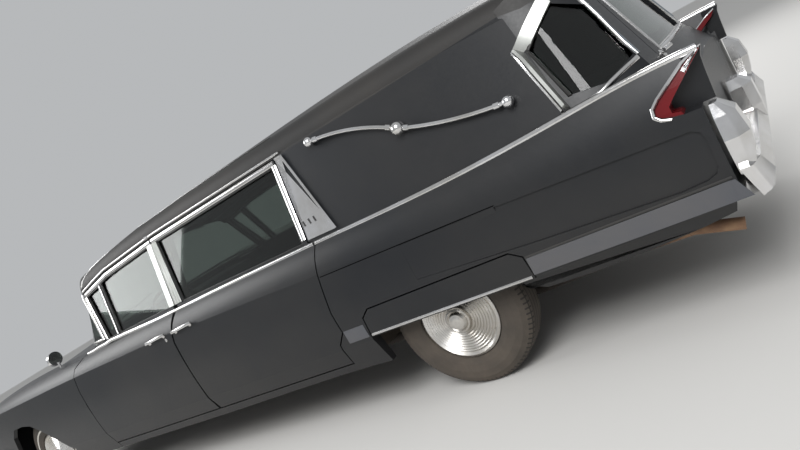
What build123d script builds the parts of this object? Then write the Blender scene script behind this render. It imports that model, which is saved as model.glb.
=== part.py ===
"""A full-size hearse of about 1960 on a long commercial chassis, in millimetres.

+X is forward, +Y is the driver's left and +Z is up. The origin is on the ground, under the middle of the car.
The body is a lower hull with a tall cabin on top. Both are lofts through sections that come from two short
tables, and the panels are cut out of them where the real ones meet. Left-hand pieces are made first, and the
right-hand ones are their mirror images.
"""

from build123d import *
import os
from collections import namedtuple
from math import cos, radians, sin

os.makedirs("parts", exist_ok=True)

# Chassis and wheels
WHEELBASE = 3962
FRONT_AXLE = 2252
REAR_AXLE = FRONT_AXLE - WHEELBASE
AXLE_Z = 355
TYRE_R = 355
TYRE_W = 205
BEAD_R = 192
TRACK_HALF = 785
SPINDLE_R = 20
RUNNING = 0.05
KINGPIN_Y = 690
KINGPIN_R = 14

# Body
SILL_Z = 290
BELT_Z = 990
HULL_FRONT = 3050
HULL_REAR = -3055
FIREWALL_X = 1300
HOOD_HALF = 640
DOOR_FRONT_X = 1285
DOOR_REAR_X = -1150
DOOR_BOTTOM = 345
GAP = 7
REAR_OPENING_BOTTOM = 588

# The cabin's side is one leaning plane: y falls by TUMBLE for each millimetre of height above the belt
CABIN_BELT_Y = 888
TUMBLE = 0.29
CABIN_BASE = 800
CABIN_WALL = 45
GLASS_INSET = 16
GLASS_T = 6

nodes = {}


def cabin_y(z, inset=0):
    """Half width of the cabin's side plane at height z."""
    return CABIN_BELT_Y - TUMBLE * (z - BELT_Z) - inset


def keep(part, label):
    """Labels one finished piece and writes it to its own file."""
    part.label = label
    nodes[label] = part
    export_step(part, f"parts/{label}.step")


def keep_pair(part, label):
    """Writes a left-hand piece and its mirror image."""
    keep(part, label + "_left")
    with BuildPart() as other:
        add(part.mirror(Plane.XZ))
    keep(other.part, label + "_right")


def both_sides(part):
    """One shape that holds a left-hand piece and its mirror image."""
    with BuildPart() as pair:
        add(part)
        add(part.mirror(Plane.XZ))
    return pair.part


def side_prism(outline, y_out, y_in, shift=None, grow=0):
    """A block whose side view is the outline, from y_out inward to y_in. shift moves each point, by its own
    (dx, dz) for each millimetre of depth, so that a door's edge has draft. grow widens it all round."""
    depth = y_out - y_in
    inner = [
        (x + depth * dx, z + depth * dz)
        for (x, z), (dx, dz) in zip(outline, shift or [(0, 0)] * len(outline))
    ]
    with BuildPart() as prism:
        for y, points in ((y_out, outline), (y_in, inner)):
            with BuildSketch(Plane.XZ.offset(-y)):
                with BuildLine():
                    Polyline(*points, close=True)
                make_face()
                if grow:
                    offset(amount=grow, kind=Kind.INTERSECTION)
        loft(ruled=True)
    return prism.part


def block(x0, x1, y0, y1, z0, z1):
    """A box between two corners."""
    with BuildPart() as box:
        with BuildSketch(Plane.XY.offset(z0)):
            with Locations(((x0 + x1) / 2, (y0 + y1) / 2)):
                Rectangle(x1 - x0, y1 - y0)
        extrude(amount=z1 - z0)
    return box.part


def common(*shapes):
    """What all the shapes share."""
    with BuildPart() as shared:
        add(shapes[0])
        for shape in shapes[1:]:
            add(shape, mode=Mode.INTERSECT)
    return shared.part


def less(shape, *cuts):
    """The shape without the cuts."""
    with BuildPart() as rest:
        add(shape)
        for cut in cuts:
            add(cut, mode=Mode.SUBTRACT)
    return rest.part


def joined(*shapes):
    """All the shapes as one."""
    with BuildPart() as whole:
        for shape in shapes:
            add(shape)
    return whole.part


# Lower hull. Columns: x of the section, bottom z, sill y, widest y, crease y and z, shoulder y and z (belt, fin
# or fender top), inner edge of that top y and z, foot of its inner face y and z, height at the middle, wall,
# and how deep the long hollow in the rear quarter is pressed in
HullRow = namedtuple(
    "HullRow", "x low sill wide crease_y crease_z top_y top_z in_y in_z foot_y foot_z crown wall dent"
)
HULL = [
    HullRow(HULL_FRONT, 400, 880, 920, 930, 868, 860, 918, 770, 930, 655, 905, 915, 32, 0),
    HullRow(2700, 330, 912, 955, 962, 886, 880, 948, 785, 964, 660, 930, 955, 32, 0),
    HullRow(2250, SILL_Z, 930, 978, 976, 892, 890, 972, 795, 992, 670, 962, 1000, 32, 0),
    HullRow(1500, SILL_Z, 935, 990, 980, 900, 897, 986, 812, 1004, 700, 988, 1036, 40, 0),
    HullRow(850, SILL_Z, 935, 994, 978, 898, 904, BELT_Z, 868, 994, 800, 992, 996, 70, 0),
    HullRow(-200, SILL_Z, 935, 995, 978, 884, 906, BELT_Z, 870, 992, 800, 988, 990, 70, 0),
    HullRow(-1200, SILL_Z, 935, 995, 980, 846, 908, 980, 872, 982, 800, 980, 980, 62, 0),
    HullRow(-2000, SILL_Z, 935, 995, 984, 815, 914, 972, 878, 972, 820, 950, 950, 45, 5),
    HullRow(-2600, 400, 940, 995, 986, 785, 922, 996, 888, 994, 846, 900, 900, 40, 9),
    HullRow(HULL_REAR, 440, 945, 990, 980, 755, 928, 1008, 896, 1006, 820, 812, 912, 40, 9),
]
WIDE_Z = 590
KNEE_Z = 440


def hull(inset, dent=0):
    """The left half of the lower hull. inset 1 gives the hollow inside it, which is open below and stops under
    the fins. dent 1 moves the sides in by the depth of the quarter's hollow."""
    with BuildPart() as half:
        for row in HULL:
            w = row.wall * inset + row.dent * dent
            x = row.x - w if row.x == HULL_FRONT else row.x
            x = row.x + w * inset if row.x == HULL_REAR else x
            low = row.low - 100 * inset
            knee = max(KNEE_Z, row.low + 40)
            under_fin = row.foot_z + 4 if inset else row.in_z
            crease_z = min(row.crease_z, under_fin - 40)
            top_z = min(row.top_z, under_fin)
            in_z = min(row.in_z, under_fin)
            bulge = (row.crease_y + row.top_y) / 2 + 12 - w
            with BuildSketch(Plane.YZ.offset(x)):
                with BuildLine():
                    Line((0, low), (row.sill - w, low))
                    Line((row.sill - w, low), (row.wide - 8 - w, knee))
                    ThreePointArc(
                        (row.wide - 8 - w, knee),
                        (row.wide - w, WIDE_Z),
                        (row.crease_y - w, crease_z - w),
                    )
                    ThreePointArc(
                        (row.crease_y - w, crease_z - w),
                        (bulge, (crease_z + top_z) / 2 - w),
                        (row.top_y - w, top_z - w),
                    )
                    Line((row.top_y - w, top_z - w), (row.in_y - w, in_z - w))
                    Line((row.in_y - w, in_z - w), (row.foot_y - w, row.foot_z - w))
                    Line((row.foot_y - w, row.foot_z - w), (0, row.crown - w))
                    Line((0, row.crown - w), (0, low))
                make_face()
        loft()
    return half.part


# Cabin. Columns: x of the section, height of the drip rail, height of the roof at the middle
CabinRow = namedtuple("CabinRow", "x rail crown")
CABIN = [
    CabinRow(1600, 1290, 1400),
    CabinRow(950, 1384, 1524),
    CabinRow(600, 1428, 1578),
    CabinRow(50, 1460, 1616),
    CabinRow(-900, 1468, 1638),
    CabinRow(-1800, 1468, 1640),
    CabinRow(-2400, 1450, 1612),
    CabinRow(-3100, 1360, 1480),
]
# Plan of the cabin's ends at three heights. Columns: z, front middle x, end of the flat front x and y, front
# corner x and y, where the rear corner starts x and y, rear corner x and y, rear middle x
PlanRow = namedtuple("PlanRow", "z nose bend_x bend_y front_x front_y turn_x turn_y rear_x rear_y tail")
PLAN = [
    PlanRow(CABIN_BASE, 1485, 1372, 690, 1000, 912, -2640, 912, -3098, 762, -3140),
    PlanRow(1000, 1455, 1342, 680, 990, 886, -2620, 886, -2938, 752, -2980),
    PlanRow(1560, 985, 955, 520, 935, 724, -2480, 724, -2706, 640, -2748),
]


def cabin(inset):
    """The left half of the cabin, or of the hollow inside it when inset is over 0."""
    with BuildPart() as half:
        for row in CABIN:
            rail_y = cabin_y(row.rail, inset)
            shoulder = (rail_y - 72, row.rail + 97 - inset)
            with BuildSketch(Plane.YZ.offset(row.x)):
                with BuildLine():
                    Line((0, CABIN_BASE), (cabin_y(CABIN_BASE, inset), CABIN_BASE))
                    Line((cabin_y(CABIN_BASE, inset), CABIN_BASE), (rail_y, row.rail - inset))
                    ThreePointArc(
                        (rail_y, row.rail - inset),
                        (rail_y - 22, row.rail + 60 - inset),
                        shoulder,
                    )
                    ThreePointArc(
                        shoulder,
                        (shoulder[0] * 0.52, row.crown - inset - (row.crown - inset - shoulder[1]) * 0.26),
                        (0, row.crown - inset),
                    )
                    Line((0, row.crown - inset), (0, CABIN_BASE))
                make_face()
        loft()
        plans = []
        for row in PLAN:
            nose, tail = row.nose - inset, row.tail + inset
            bend = (row.bend_x - inset, row.bend_y - inset * 0.4)
            front = (row.front_x - inset * 0.6, row.front_y - inset * 0.6)
            rear = (row.rear_x + inset, row.rear_y - inset * 0.6)
            turn = (row.turn_x + inset, row.turn_y)
            with BuildSketch(Plane.XY.offset(row.z)) as plan:
                with BuildLine():
                    ThreePointArc((nose, 0), (nose - (nose - bend[0]) * 0.27, bend[1] * 0.52), bend)
                    ThreePointArc(
                        bend,
                        (bend[0] * 0.42 + front[0] * 0.58, bend[1] * 0.28 + front[1] * 0.72),
                        front,
                    )
                    Polyline(front, (front[0] - 20, 980), (turn[0] + 20, 980), turn)
                    ThreePointArc(turn, (turn[0] * 0.4 + rear[0] * 0.6, turn[1] * 0.62 + rear[1] * 0.38), rear)
                    ThreePointArc(rear, (tail - (tail - rear[0]) * 0.25, rear[1] * 0.5), (tail, 0))
                    Line((tail, 0), (nose, 0))
                make_face()
            plans.append(plan.sketch)
        with BuildPart(mode=Mode.PRIVATE) as ends:
            loft(plans, ruled=True)
            extrude(ends.faces().sort_by(Axis.Z)[-1], amount=200)
        add(ends.part, mode=Mode.INTERSECT)
        add(block(-3300, HULL_REAR + inset, -10, 1000, 700, 1000), mode=Mode.SUBTRACT)
    return half.part


# Outlines in side view, as (x, z). The door edges that swing away from their hinge have draft
DOOR_TOP_GAP = 7
FRONT_DOOR = [
    (DOOR_FRONT_X, DOOR_BOTTOM), (DOOR_FRONT_X, 560), (1275, 800), (1242, 946), (1150, 984), (1138, 1000),
    (832, 1000), (942, 1366), (620, 1418), (60, 1446), (22, 1000), (75, 835), (75, DOOR_BOTTOM),
]
FRONT_DRAFT = [(0, 0)] * 9 + [(0.12, -0.006)] + [(0.12, 0)] * 3
REAR_DOOR = [
    (68, DOOR_BOTTOM), (68, 835), (15, 1000), (53, 1446), (-1122, 1452), (-1150, 1000), (-1206, 985),
    (-1140, 640), (-1140, 530), (-1080, 470), (-1062, DOOR_BOTTOM),
]
REAR_DRAFT = [(-0.12, 0)] * 3 + [(-0.12, 0.0006)] + [(0, 0)] * 7
ROOF_ZONE = [
    (1300, 1452), (1062, 1452), (975, 1378), (945, 1374), (620, 1426), (53, 1454), (-1122, 1460), (-2500, 1460),
    (-2600, 1440), (-3200, 1440), (-3200, 1800), (1300, 1800),
]
WINDSHIELD = [(876, 1022), (1700, 1042), (1700, 1452), (1062, 1452), (975, 1378)]
VENT = [(802, 1020), (690, 1020), (744, 1366), (912, 1342)]
FRONT_WINDOW = [(664, 1020), (76, 1020), (104, 1416), (620, 1390), (718, 1374)]
REAR_WINDOW = [(-56, 1020), (-1118, 1000), (-1094, 1424), (10, 1418)]
QUARTER_WINDOW = [(-2570, 1279), (-2698, 1402), (-2806, 1330), (-2897, 1075), (-2789, 1030), (-2654, 1054)]
ARCH = [
    (-455, 250), (-442, 404), (-300, 535), (-165, 642), (-60, 704), (60, 724), (228, 720), (330, 650),
    (400, 520), (430, 400), (440, 250),
]
SKIRT = [(-1297, 455), (-1310, 560), (-1360, 594), (-2160, 594), (-2210, 560), (-2217, 455)]
REAR_UNDER = [(-2190, 462), (-3100, 471), (-3100, 150), (-2190, 150)]
RECESS = [
    (-1700, 816), (-2024, 808), (-2990, 762), (-3016, 745), (-3024, 715), (-3022, 613), (-3008, 591), (-2972, 578),
    (-2878, 572), (-2300, 600), (-1700, 640),
]
# Outlines in rear view, as (y, z)
TAIL_DOOR = [
    (-622, REAR_OPENING_BOTTOM), (-622, 930), (-600, 1000), (-520, 1432), (520, 1432), (600, 1000), (622, 930),
    (622, REAR_OPENING_BOTTOM),
]
TAIL_DRAFT = [(0, 0)] * 4 + [(-0.14, 0)] * 4
TAIL_WINDOW = [(-475, 1035), (-415, 1385), (415, 1385), (475, 1035)]


def rear_prism(outline, x_out, x_in, shift=None, grow=0):
    """A block whose rear view is the outline, from x_out forward to x_in, with draft like side_prism."""
    depth = x_in - x_out
    inner = [
        (y + depth * dy, z + depth * dz)
        for (y, z), (dy, dz) in zip(outline, shift or [(0, 0)] * len(outline))
    ]
    with BuildPart() as prism:
        for x, points in ((x_out, outline), (x_in, inner)):
            with BuildSketch(Plane.YZ.offset(x)):
                with BuildLine():
                    Polyline(*points, close=True)
                make_face()
                if grow:
                    offset(amount=grow, kind=Kind.INTERSECTION)
        loft(ruled=True)
    return prism.part


# Shells
hull_outer = hull(0)
cabin_outer = cabin(0)
cabin_inner = cabin(CABIN_WALL)
cabin_lining = cabin(CABIN_WALL + 6)
cabin_deep = cabin(CABIN_WALL + 45)
cabin_rail = less(cabin_lining, cabin_deep)
glass_shell = less(cabin(GLASS_INSET), cabin(GLASS_INSET + GLASS_T))
hull_inner = hull(1)
hull_skin = less(hull_outer, hull_inner, cabin_inner)
cabin_skin = less(cabin_outer, cabin_inner, hull_outer)

# Notch in the fin's outer skin, which the tail lamp fills. The lamp is a blade that starts at the fin's tip
BLADE = [
    (-3122, 1006), (-3054, 977), (-2938, 902), (-2913, 880), (-2909, 856), (-2926, 841), (-2958, 831), (-2995, 824),
]
BLADE_BACK = [(-2990, 836), (-2962, 843), (-2960, 866), (-2983, 888), (-3064, 956), (-3118, 1000)]
BLADE_Y = 884
notch = side_prism(BLADE + [(-3200, 812), (-3200, 1040)], 1010, BLADE_Y)
FIN_TAIL = [(-3030, 820), (-3098, 820), (-3104, 923), (-3109, 972), (-3122, 1004), (-3030, 1007)]
FIN_TIP = [(-3030, 967), (-3054, 977), (-3122, 1006), (-3030, 1008)]

# Doors
front_door_cut = side_prism(FRONT_DOOR, 1010, 560, FRONT_DRAFT, GAP)
rear_door_cut = side_prism(REAR_DOOR, 1010, 560, REAR_DRAFT, GAP)
tail_door_cut = rear_prism(TAIL_DOOR, -3100, -2500, TAIL_DRAFT, GAP)
shell = joined(hull_skin, cabin_skin)
roof_zone = side_prism(ROOF_ZONE, 1010, -10)

front_door_prism = side_prism(FRONT_DOOR, 1010, 560, FRONT_DRAFT)
door_front = less(common(shell, front_door_prism), block(990, 1300, 500, 829, 880, 1001))
vent_cut = side_prism(VENT, 1010, 560)
front_window_cut = side_prism(FRONT_WINDOW, 1010, 560)
rear_window_cut = side_prism(REAR_WINDOW, 1010, 560)
keep_pair(less(door_front, vent_cut, front_window_cut), "door_front")
keep_pair(common(glass_shell, joined(vent_cut, front_window_cut)), "glass_front")
door_rear = common(shell, side_prism(REAR_DOOR, 1010, 560, REAR_DRAFT))
keep_pair(less(door_rear, rear_window_cut), "door_rear")
keep_pair(common(glass_shell, rear_window_cut), "glass_rear")
print("doors done")

# Sides: sill, wedge behind the rear door, side panel, quarter and fin
arch_rear = side_prism(SKIRT[:1] + [(-1297, 200)] + [(-2217, 200)] + SKIRT[:0:-1] + [], 1100, 600, None, GAP)
quarter_cut = side_prism(QUARTER_WINDOW, 1010, 600)
side = less(
    common(shell, block(-3100, DOOR_FRONT_X, 0, 1100, 200, 1500)),
    block(-1100, 1400, 0, 1100, 1000, 1500),
    block(1100, 1400, 0, 1100, 700, 1500),
    block(-2600, 1400, 0, 840, 200, 1000),
    block(-10, 140, 0, 1100, 340, 1100),
    front_door_cut,
    rear_door_cut,
    arch_rear,
    quarter_cut,
    roof_zone,
    block(-3100, -2900, 0, 640, 200, REAR_OPENING_BOTTOM + GAP),
    block(-3200, -2560, 0, 535, 1424, 1500),
    side_prism(REAR_UNDER, 1100, 600),
    less(side_prism(RECESS, 1100, 900), hull(0, 1)),
    notch,
)
side = joined(side, side_prism(FIN_TAIL, BLADE_Y, 846), side_prism(FIN_TIP, 926, 896))
keep(less(both_sides(side), tail_door_cut), "body_sides")
keep(both_sides(common(hull_skin, side_prism(SKIRT, 1100, 900))), "skirts")
keep(both_sides(common(glass_shell, quarter_cut)), "glass_quarter")
print("sides done")

# Roof with the rails that the doors close against
ROOF_RAIL = [
    (930, 1340), (620, 1385), (53, 1412), (-1150, 1418), (-1150, 1480), (53, 1480), (620, 1450), (930, 1400),
]
roof = joined(
    common(cabin_skin, roof_zone),
    common(cabin_rail, side_prism(ROOF_RAIL, 1000, 560)),
    common(less(cabin_inner, cabin_deep), roof_zone, block(-1150, 930, 560, 1000, 1300, 1500)),
)
keep(both_sides(roof), "roof")

# Pillar between the doors
pillar = joined(
    block(-40, 100, 782, 842, 334, 950),
    common(cabin_rail, block(-20, 92, 560, 1000, 930, 1414)),
)
pillar = less(pillar, side_prism(ROOF_RAIL, 1000, 500))
keep(both_sides(pillar), "b_pillars")

# Cowl: windshield surround, its pillars, the air box under the glass and the firewall
windshield_cut = side_prism(WINDSHIELD, 1010, -10)
cowl_top = less(
    joined(
        common(cabin_skin, block(700, 1600, 0, 1010, 900, 1500)),
        common(hull_skin, block(1292, 1523, 0, 652, 850, 1100)),
        common(less(cabin_inner, cabin_deep), block(868, 1240, 700, 900, 1002, 1020)),
    ),
    windshield_cut,
    front_door_cut,
    roof_zone,
)
cowl = joined(
    cowl_top,
    common(cabin_rail, block(868, 1240, 700, 822, 900, 1004)),
    common(less(cabin_outer, cabin_deep), hull_outer, front_door_prism, block(990, 1290, 640, 822, 935, 1010)),
    common(hull_inner, block(1296, 1310, 0, 860, 334, 930)),
    common(hull_inner, block(1296, 1523, 0, 652, 918, 930)),
    common(hull_inner, block(1511, 1523, 0, 652, 918, 1040)),
    common(hull_inner, block(1296, 1340, 780, 1000, 334, 960)),
    common(cabin_rail, block(1180, 1340, 740, 822, 900, 1004)),
)
keep(both_sides(cowl), "cowl")
keep(both_sides(common(glass_shell, windshield_cut)), "windshield")

# Fenders, hood and front panel
arch_front = side_prism([(FRONT_AXLE + x, z) for x, z in ARCH], 1100, 600)
LAMP_Y = (575, 765)
LAMP_Z = 742
LAMP_R = 88
with BuildPart() as lamp_holes:
    with BuildSketch(Plane.YZ.offset(2990)):
        with Locations(*[(y, LAMP_Z) for y in LAMP_Y]):
            Circle(LAMP_R)
    extrude(amount=100)
fender = less(
    joined(
        common(hull_skin, block(1100, 3100, 652, 1100, 200, 1100)),
        common(hull_skin, block(2990, 3100, 482, 652, 200, 1100)),
    ),
    block(1000, 1290, 0, 1100, 200, 700),
    front_door_cut,
    arch_front,
    lamp_holes.part,
    block(2900, 3100, 0, 482, 200, 1100),
)
keep(both_sides(fender), "fenders")
keep(both_sides(common(hull_skin, block(1530, 2983, 0, 645, 800, 1100))), "hood")
GRILLE_Z = (585, 800)
grille_hole = block(2980, 3100, -470, 470, *GRILLE_Z)
keep(
    less(both_sides(common(hull_skin, block(2990, 3100, 0, 482, 380, 1100))), grille_hole),
    "front_panel",
)
with BuildPart() as grille:
    with BuildSketch(Plane.YZ.offset(3022)):
        with Locations(*[(0, GRILLE_Z[0] + 12 + i * 38.2) for i in range(6)]):
            Rectangle(940, 10)
    extrude(amount=16)
    with BuildSketch(Plane.YZ.offset(3022)):
        with Locations(*[(-465 + i * 93, sum(GRILLE_Z) / 2) for i in range(11)]):
            Rectangle(10, GRILLE_Z[1] - GRILLE_Z[0])
    extrude(amount=16)
keep(grille.part, "grille")
with BuildPart() as lamp:
    for y in LAMP_Y:
        with BuildSketch(Plane.YZ.offset(3020)):
            with Locations((y, LAMP_Z)):
                Circle(LAMP_R)
        extrude(amount=44)
    fillet(lamp.edges().group_by(Axis.X)[-1], 16)
keep(both_sides(lamp.part), "headlamps")

# Tail door and the panel under it
tail_door = less(
    common(both_sides(shell), rear_prism(TAIL_DOOR, -3100, -2500, TAIL_DRAFT)),
    block(-2900, -2400, -700, 700, 400, 900),
)
tail_window_cut = rear_prism(TAIL_WINDOW, -3100, -2500)
PLATE_SPACING = 177.8
with BuildPart() as plate_holes:
    with BuildSketch(Plane.YZ.offset(-3080)):
        with Locations((0, 700)):
            with GridLocations(PLATE_SPACING, 1, 2, 1):
                Circle(3.5)
    extrude(amount=90)
keep(less(tail_door, tail_window_cut, plate_holes.part), "tail_door")
keep(common(both_sides(glass_shell), tail_window_cut), "glass_tail")
keep(common(both_sides(hull_skin), block(-3100, -2960, -640, 640, 380, REAR_OPENING_BOTTOM - GAP)), "rear_panel")
print("panels done")

# Chassis frame, kicked up over the rear axle
RAIL = [
    (2950, 410), (1900, 410), (1750, 322), (-1196, 322), (-1215, 548), (-2940, 548), (-2940, 460), (-2330, 448),
    (-1420, 448), (-1180, 228), (1700, 228), (1880, 310), (2950, 310),
]
CROSS = [(2690, 2790, 330, 410), (2880, 2940, 330, 400), (1480, 1560, 235, 310), (300, 380, 235, 315),
         (-1100, -1020, 235, 315), (-2400, -2330, 455, 540), (-2938, -2880, 465, 540)]
with BuildPart() as frame:
    add(side_prism(RAIL, 440, 360))
    mirror(about=Plane.XZ)
    for x0, x1, z0, z1 in CROSS:
        add(block(x0, x1, -362, 362, z0, z1))
keep(frame.part, "chassis_frame")

# Floor with the raised rear part and the wheelhouses
floor = less(
    common(
        hull_inner,
        joined(
            block(-1192, 1296, 0, 1000, 322, 334),
            block(-1192, -1180, 0, 1000, 322, 560),
            block(-2990, -1180, 0, 1000, 548, 560),
            block(-2237, -1278, 628, 1000, 548, 760),
        ),
    ),
    block(-2225, -1290, 640, 1000, 500, 748),
)
keep(both_sides(floor), "floor_pan")

# Load deck, with holes for the plates that hold a bier
DECK_HOLES = (1600, 400)
DECK_HOLE_X = -1500
with BuildPart() as deck_holes:
    with BuildSketch(Plane.XY.offset(580)):
        with Locations((DECK_HOLE_X, 0)):
            with GridLocations(*DECK_HOLES, 2, 2):
                Circle(6.5)
    extrude(amount=40)
deck = joined(
    block(-2930, -250, 0, 615, 590, 606),
    block(-270, -250, 0, 615, 334, 590),
    block(-1180, -250, 597, 615, 334, 590),
    block(-2930, -1180, 597, 615, 560, 590),
)
keep(less(both_sides(deck), deck_holes.part), "load_deck")

# Inner fenders, radiator, engine, fuel tank
inner_fender = joined(
    less(block(1545, 2980, 462, 472, 412, 858), block(FRONT_AXLE - 70, FRONT_AXLE + 70, 455, 480, 400, 510)),
    common(hull_inner, block(1545, 2980, 462, 1000, 848, 858)),
)
keep(both_sides(inner_fender), "inner_fenders")
keep(block(2715, 2765, -330, 330, 410, 850), "radiator")
keep(block(1480, 2420, -215, 215, 310, 830), "engine_block")
keep(block(-2860, -2420, -335, 335, 335, 548), "fuel_tank")

# Bumpers
FRONT_BAR = [(3075, 395), (3150, 415), (3170, 480), (3150, 545), (3075, 565)]
bumper_front = joined(
    side_prism(FRONT_BAR, 975, -1),
    block(2860, 3100, 966, 988, 420, 545),
    block(2951, 3080, 370, 430, 330, 372),
    block(3072, 3100, 370, 430, 330, 450),
)
keep(both_sides(bumper_front), "bumper_front")

# The rear bar tapers to its ends and carries a pod under each fin and a guard in the middle. Both are stacks of
# six-sided sections. Columns: height, rearmost x, inner and outer y
REAR_BAR = [(-3062, 570), (-3140, 560), (-3165, 500), (-3140, 440), (-3062, 435)]
REAR_BAR_END = [(-3076, 573), (-3121, 574), (-3141, 475), (-3108, 461), (-3092, 514)]
StackRow = namedtuple("StackRow", "z back y_in y_out")
POD = [
    StackRow(548, -3122, 818, 962), StackRow(600, -3140, 804, 978), StackRow(682, -3154, 798, 986),
    StackRow(765, -3140, 812, 970), StackRow(812, -3096, 850, 936),
]
GUARD = [
    StackRow(436, -3120, -45, 45), StackRow(500, -3165, -80, 80), StackRow(575, -3168, -96, 96),
    StackRow(680, -3165, -90, 90), StackRow(722, -3120, -58, 58),
]


def stack(rows):
    """A faceted body through level sections that each have their rear corners cut off."""
    with BuildPart() as body:
        for row in rows:
            cut = (POD_FRONT - row.back) * 0.42
            with BuildSketch(Plane.XY.offset(row.z)):
                with BuildLine():
                    Polyline(
                        (POD_FRONT, row.y_in), (row.back + cut, row.y_in), (row.back, row.y_in + cut),
                        (row.back, row.y_out - cut), (row.back + cut, row.y_out), (POD_FRONT, row.y_out),
                        close=True,
                    )
                make_face()
        loft(ruled=True)
    return body.part


POD_FRONT = -3070
with BuildPart() as bar_end:
    for y, points in ((850, REAR_BAR), (992, REAR_BAR_END)):
        with BuildSketch(Plane.XZ.offset(-y)):
            with BuildLine():
                Polyline(*points, close=True)
            make_face()
    loft(ruled=True)
bumper_rear = joined(
    side_prism(REAR_BAR, 850, -1),
    bar_end.part,
    stack(POD),
    less(stack(GUARD), block(-3300, -3000, -200, -1, 300, 900)),
    block(-2990, -2941, 370, 430, 350, 530),
    block(-3100, -2941, 370, 430, 350, 378),
    block(-3100, -3062, 370, 430, 350, 450),
)
keep(both_sides(bumper_rear), "bumper_rear")

# Tail lamps, each flush with the fin's skin
LAMP_FACE = [(BLADE_Y, 800), (975, 800), (966, 850), (950, 920), (927, 1004), (BLADE_Y, 1004)]
blade = side_prism(BLADE + BLADE_BACK, 1000, 860)
keep(both_sides(common(blade, rear_prism(LAMP_FACE, -3130, -2880))), "tail_lamps")

# Landau bars on the side panels: a tube in a long S, on three balls with posts. Marks are (x, z) from the front
# ball to the rear one, in the plane that leans with the cabin's side
BAR_OFF = 30
LEAN = Plane(origin=(0, cabin_y(1300) + BAR_OFF, 1300), x_dir=(1, 0, 0), z_dir=(0, 1, TUMBLE))
LANDAU = [(-1403, 1433), (-1660, 1380), (-1904, 1274), (-2160, 1193), (-2424, 1147)]
BALL_R = (26, 33, 26)
BAR_R = 10
COLLAR_R = 15
marks = [LEAN.to_local_coords(Vector(x, cabin_y(z) + BAR_OFF, z)) for x, z in LANDAU]
marks = [(m.X, m.Y) for m in marks]
with BuildPart() as landau:
    for first in (0, 2):
        with BuildLine(LEAN) as run:
            ThreePointArc(*marks[first:first + 3])
        with BuildSketch(Plane(origin=run.line @ 0, z_dir=run.line % 0)):
            Circle(BAR_R)
        sweep(path=run.line)
        for at in (0.09, 0.91):
            with Locations(Plane(origin=run.line @ at, z_dir=run.line % at)):
                Cylinder(COLLAR_R, 26)
    for mark, radius in zip(marks[::2], BALL_R):
        with Locations(LEAN):
            with Locations((*mark, 0)):
                Sphere(radius)
                Cylinder(9, BAR_OFF + 8, align=(Align.CENTER, Align.CENTER, Align.MAX))
keep(both_sides(less(landau.part, cabin_outer)), "landau_bars")

# Mirror on the left fender
with BuildPart() as mirror_post:
    with Locations((1566, 850, 965)):
        Cylinder(9, 75, align=(Align.CENTER, Align.CENTER, Align.MIN))
    with Locations(Plane(origin=(1584, 850, 1072), z_dir=(1, 0, 0))):
        Cylinder(52, 34, align=(Align.CENTER, Align.CENTER, Align.CENTER))
    add(hull_outer, mode=Mode.SUBTRACT)
keep(mirror_post.part, "fender_mirror")

# Wheels. Profiles are (radius, distance outward from the middle of the tyre)
TYRE = [
    (BEAD_R, -75), (212, -90), (240, -99), (278, -102.5), (312, -98), (338, -84), (350, -72), (TYRE_R, -55),
    (TYRE_R, 55), (350, 72), (338, 84), (312, 98), (278, 102.5), (240, 99), (212, 90), (206, 78), (BEAD_R, 75),
]
BORE_R = SPINDLE_R + RUNNING
# The wheel cover has a smooth lip, eight ribs and a domed middle
RIBS = 8
RIB_PITCH = 14
RIB_OUT = 178
ribs = [
    point
    for i in range(RIBS)
    for point in ((RIB_OUT - RIB_PITCH * i, 84 + i), (RIB_OUT - RIB_PITCH * (i + 0.5), 90 + i))
]
DISC = [
    (BORE_R, -60), (50, -60), (50, 5), (165, 25), (180, -75), (BEAD_R, -75), (BEAD_R, 75), (203, 80), (203, 86),
    (192, 93), *ribs, (64, 92), (62, 104), (54, 108), (50, 104), (38, 118), (20, 125), (0, 127), (0, 70), (BORE_R, 70),
]


def turned(profile):
    """A ring or disc turned about the Y axis through the origin."""
    with BuildPart() as ring:
        with BuildSketch(Plane.XY):
            with BuildLine():
                Polyline(*profile, close=True)
            make_face()
        revolve(axis=Axis.Y)
    return ring.part


tyre = turned(TYRE)
disc = turned(DISC)
for end, x in (("front", FRONT_AXLE), ("rear", REAR_AXLE)):
    for name, shape in (("tyre", tyre), ("wheel", disc)):
        with BuildPart() as placed:
            with Locations((x, TRACK_HALF, AXLE_Z)):
                add(shape)
        keep_pair(placed.part, f"{name}_{end}")

# Rear axle
with BuildPart() as axle:
    with Locations(Plane(origin=(REAR_AXLE, 0, AXLE_Z), z_dir=(0, 1, 0))):
        Cylinder(38, 1300)
        Cylinder(SPINDLE_R, 2 * TRACK_HALF + 136)
        Cylinder(105, 240)
        with Locations((0, 0, 682), (0, 0, -682)):
            Cylinder(135, 64)
    with Locations((REAR_AXLE, 400, 420), (REAR_AXLE, -400, 420)):
        Box(90, 56, 56)
keep(axle.part, "rear_axle")

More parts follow.
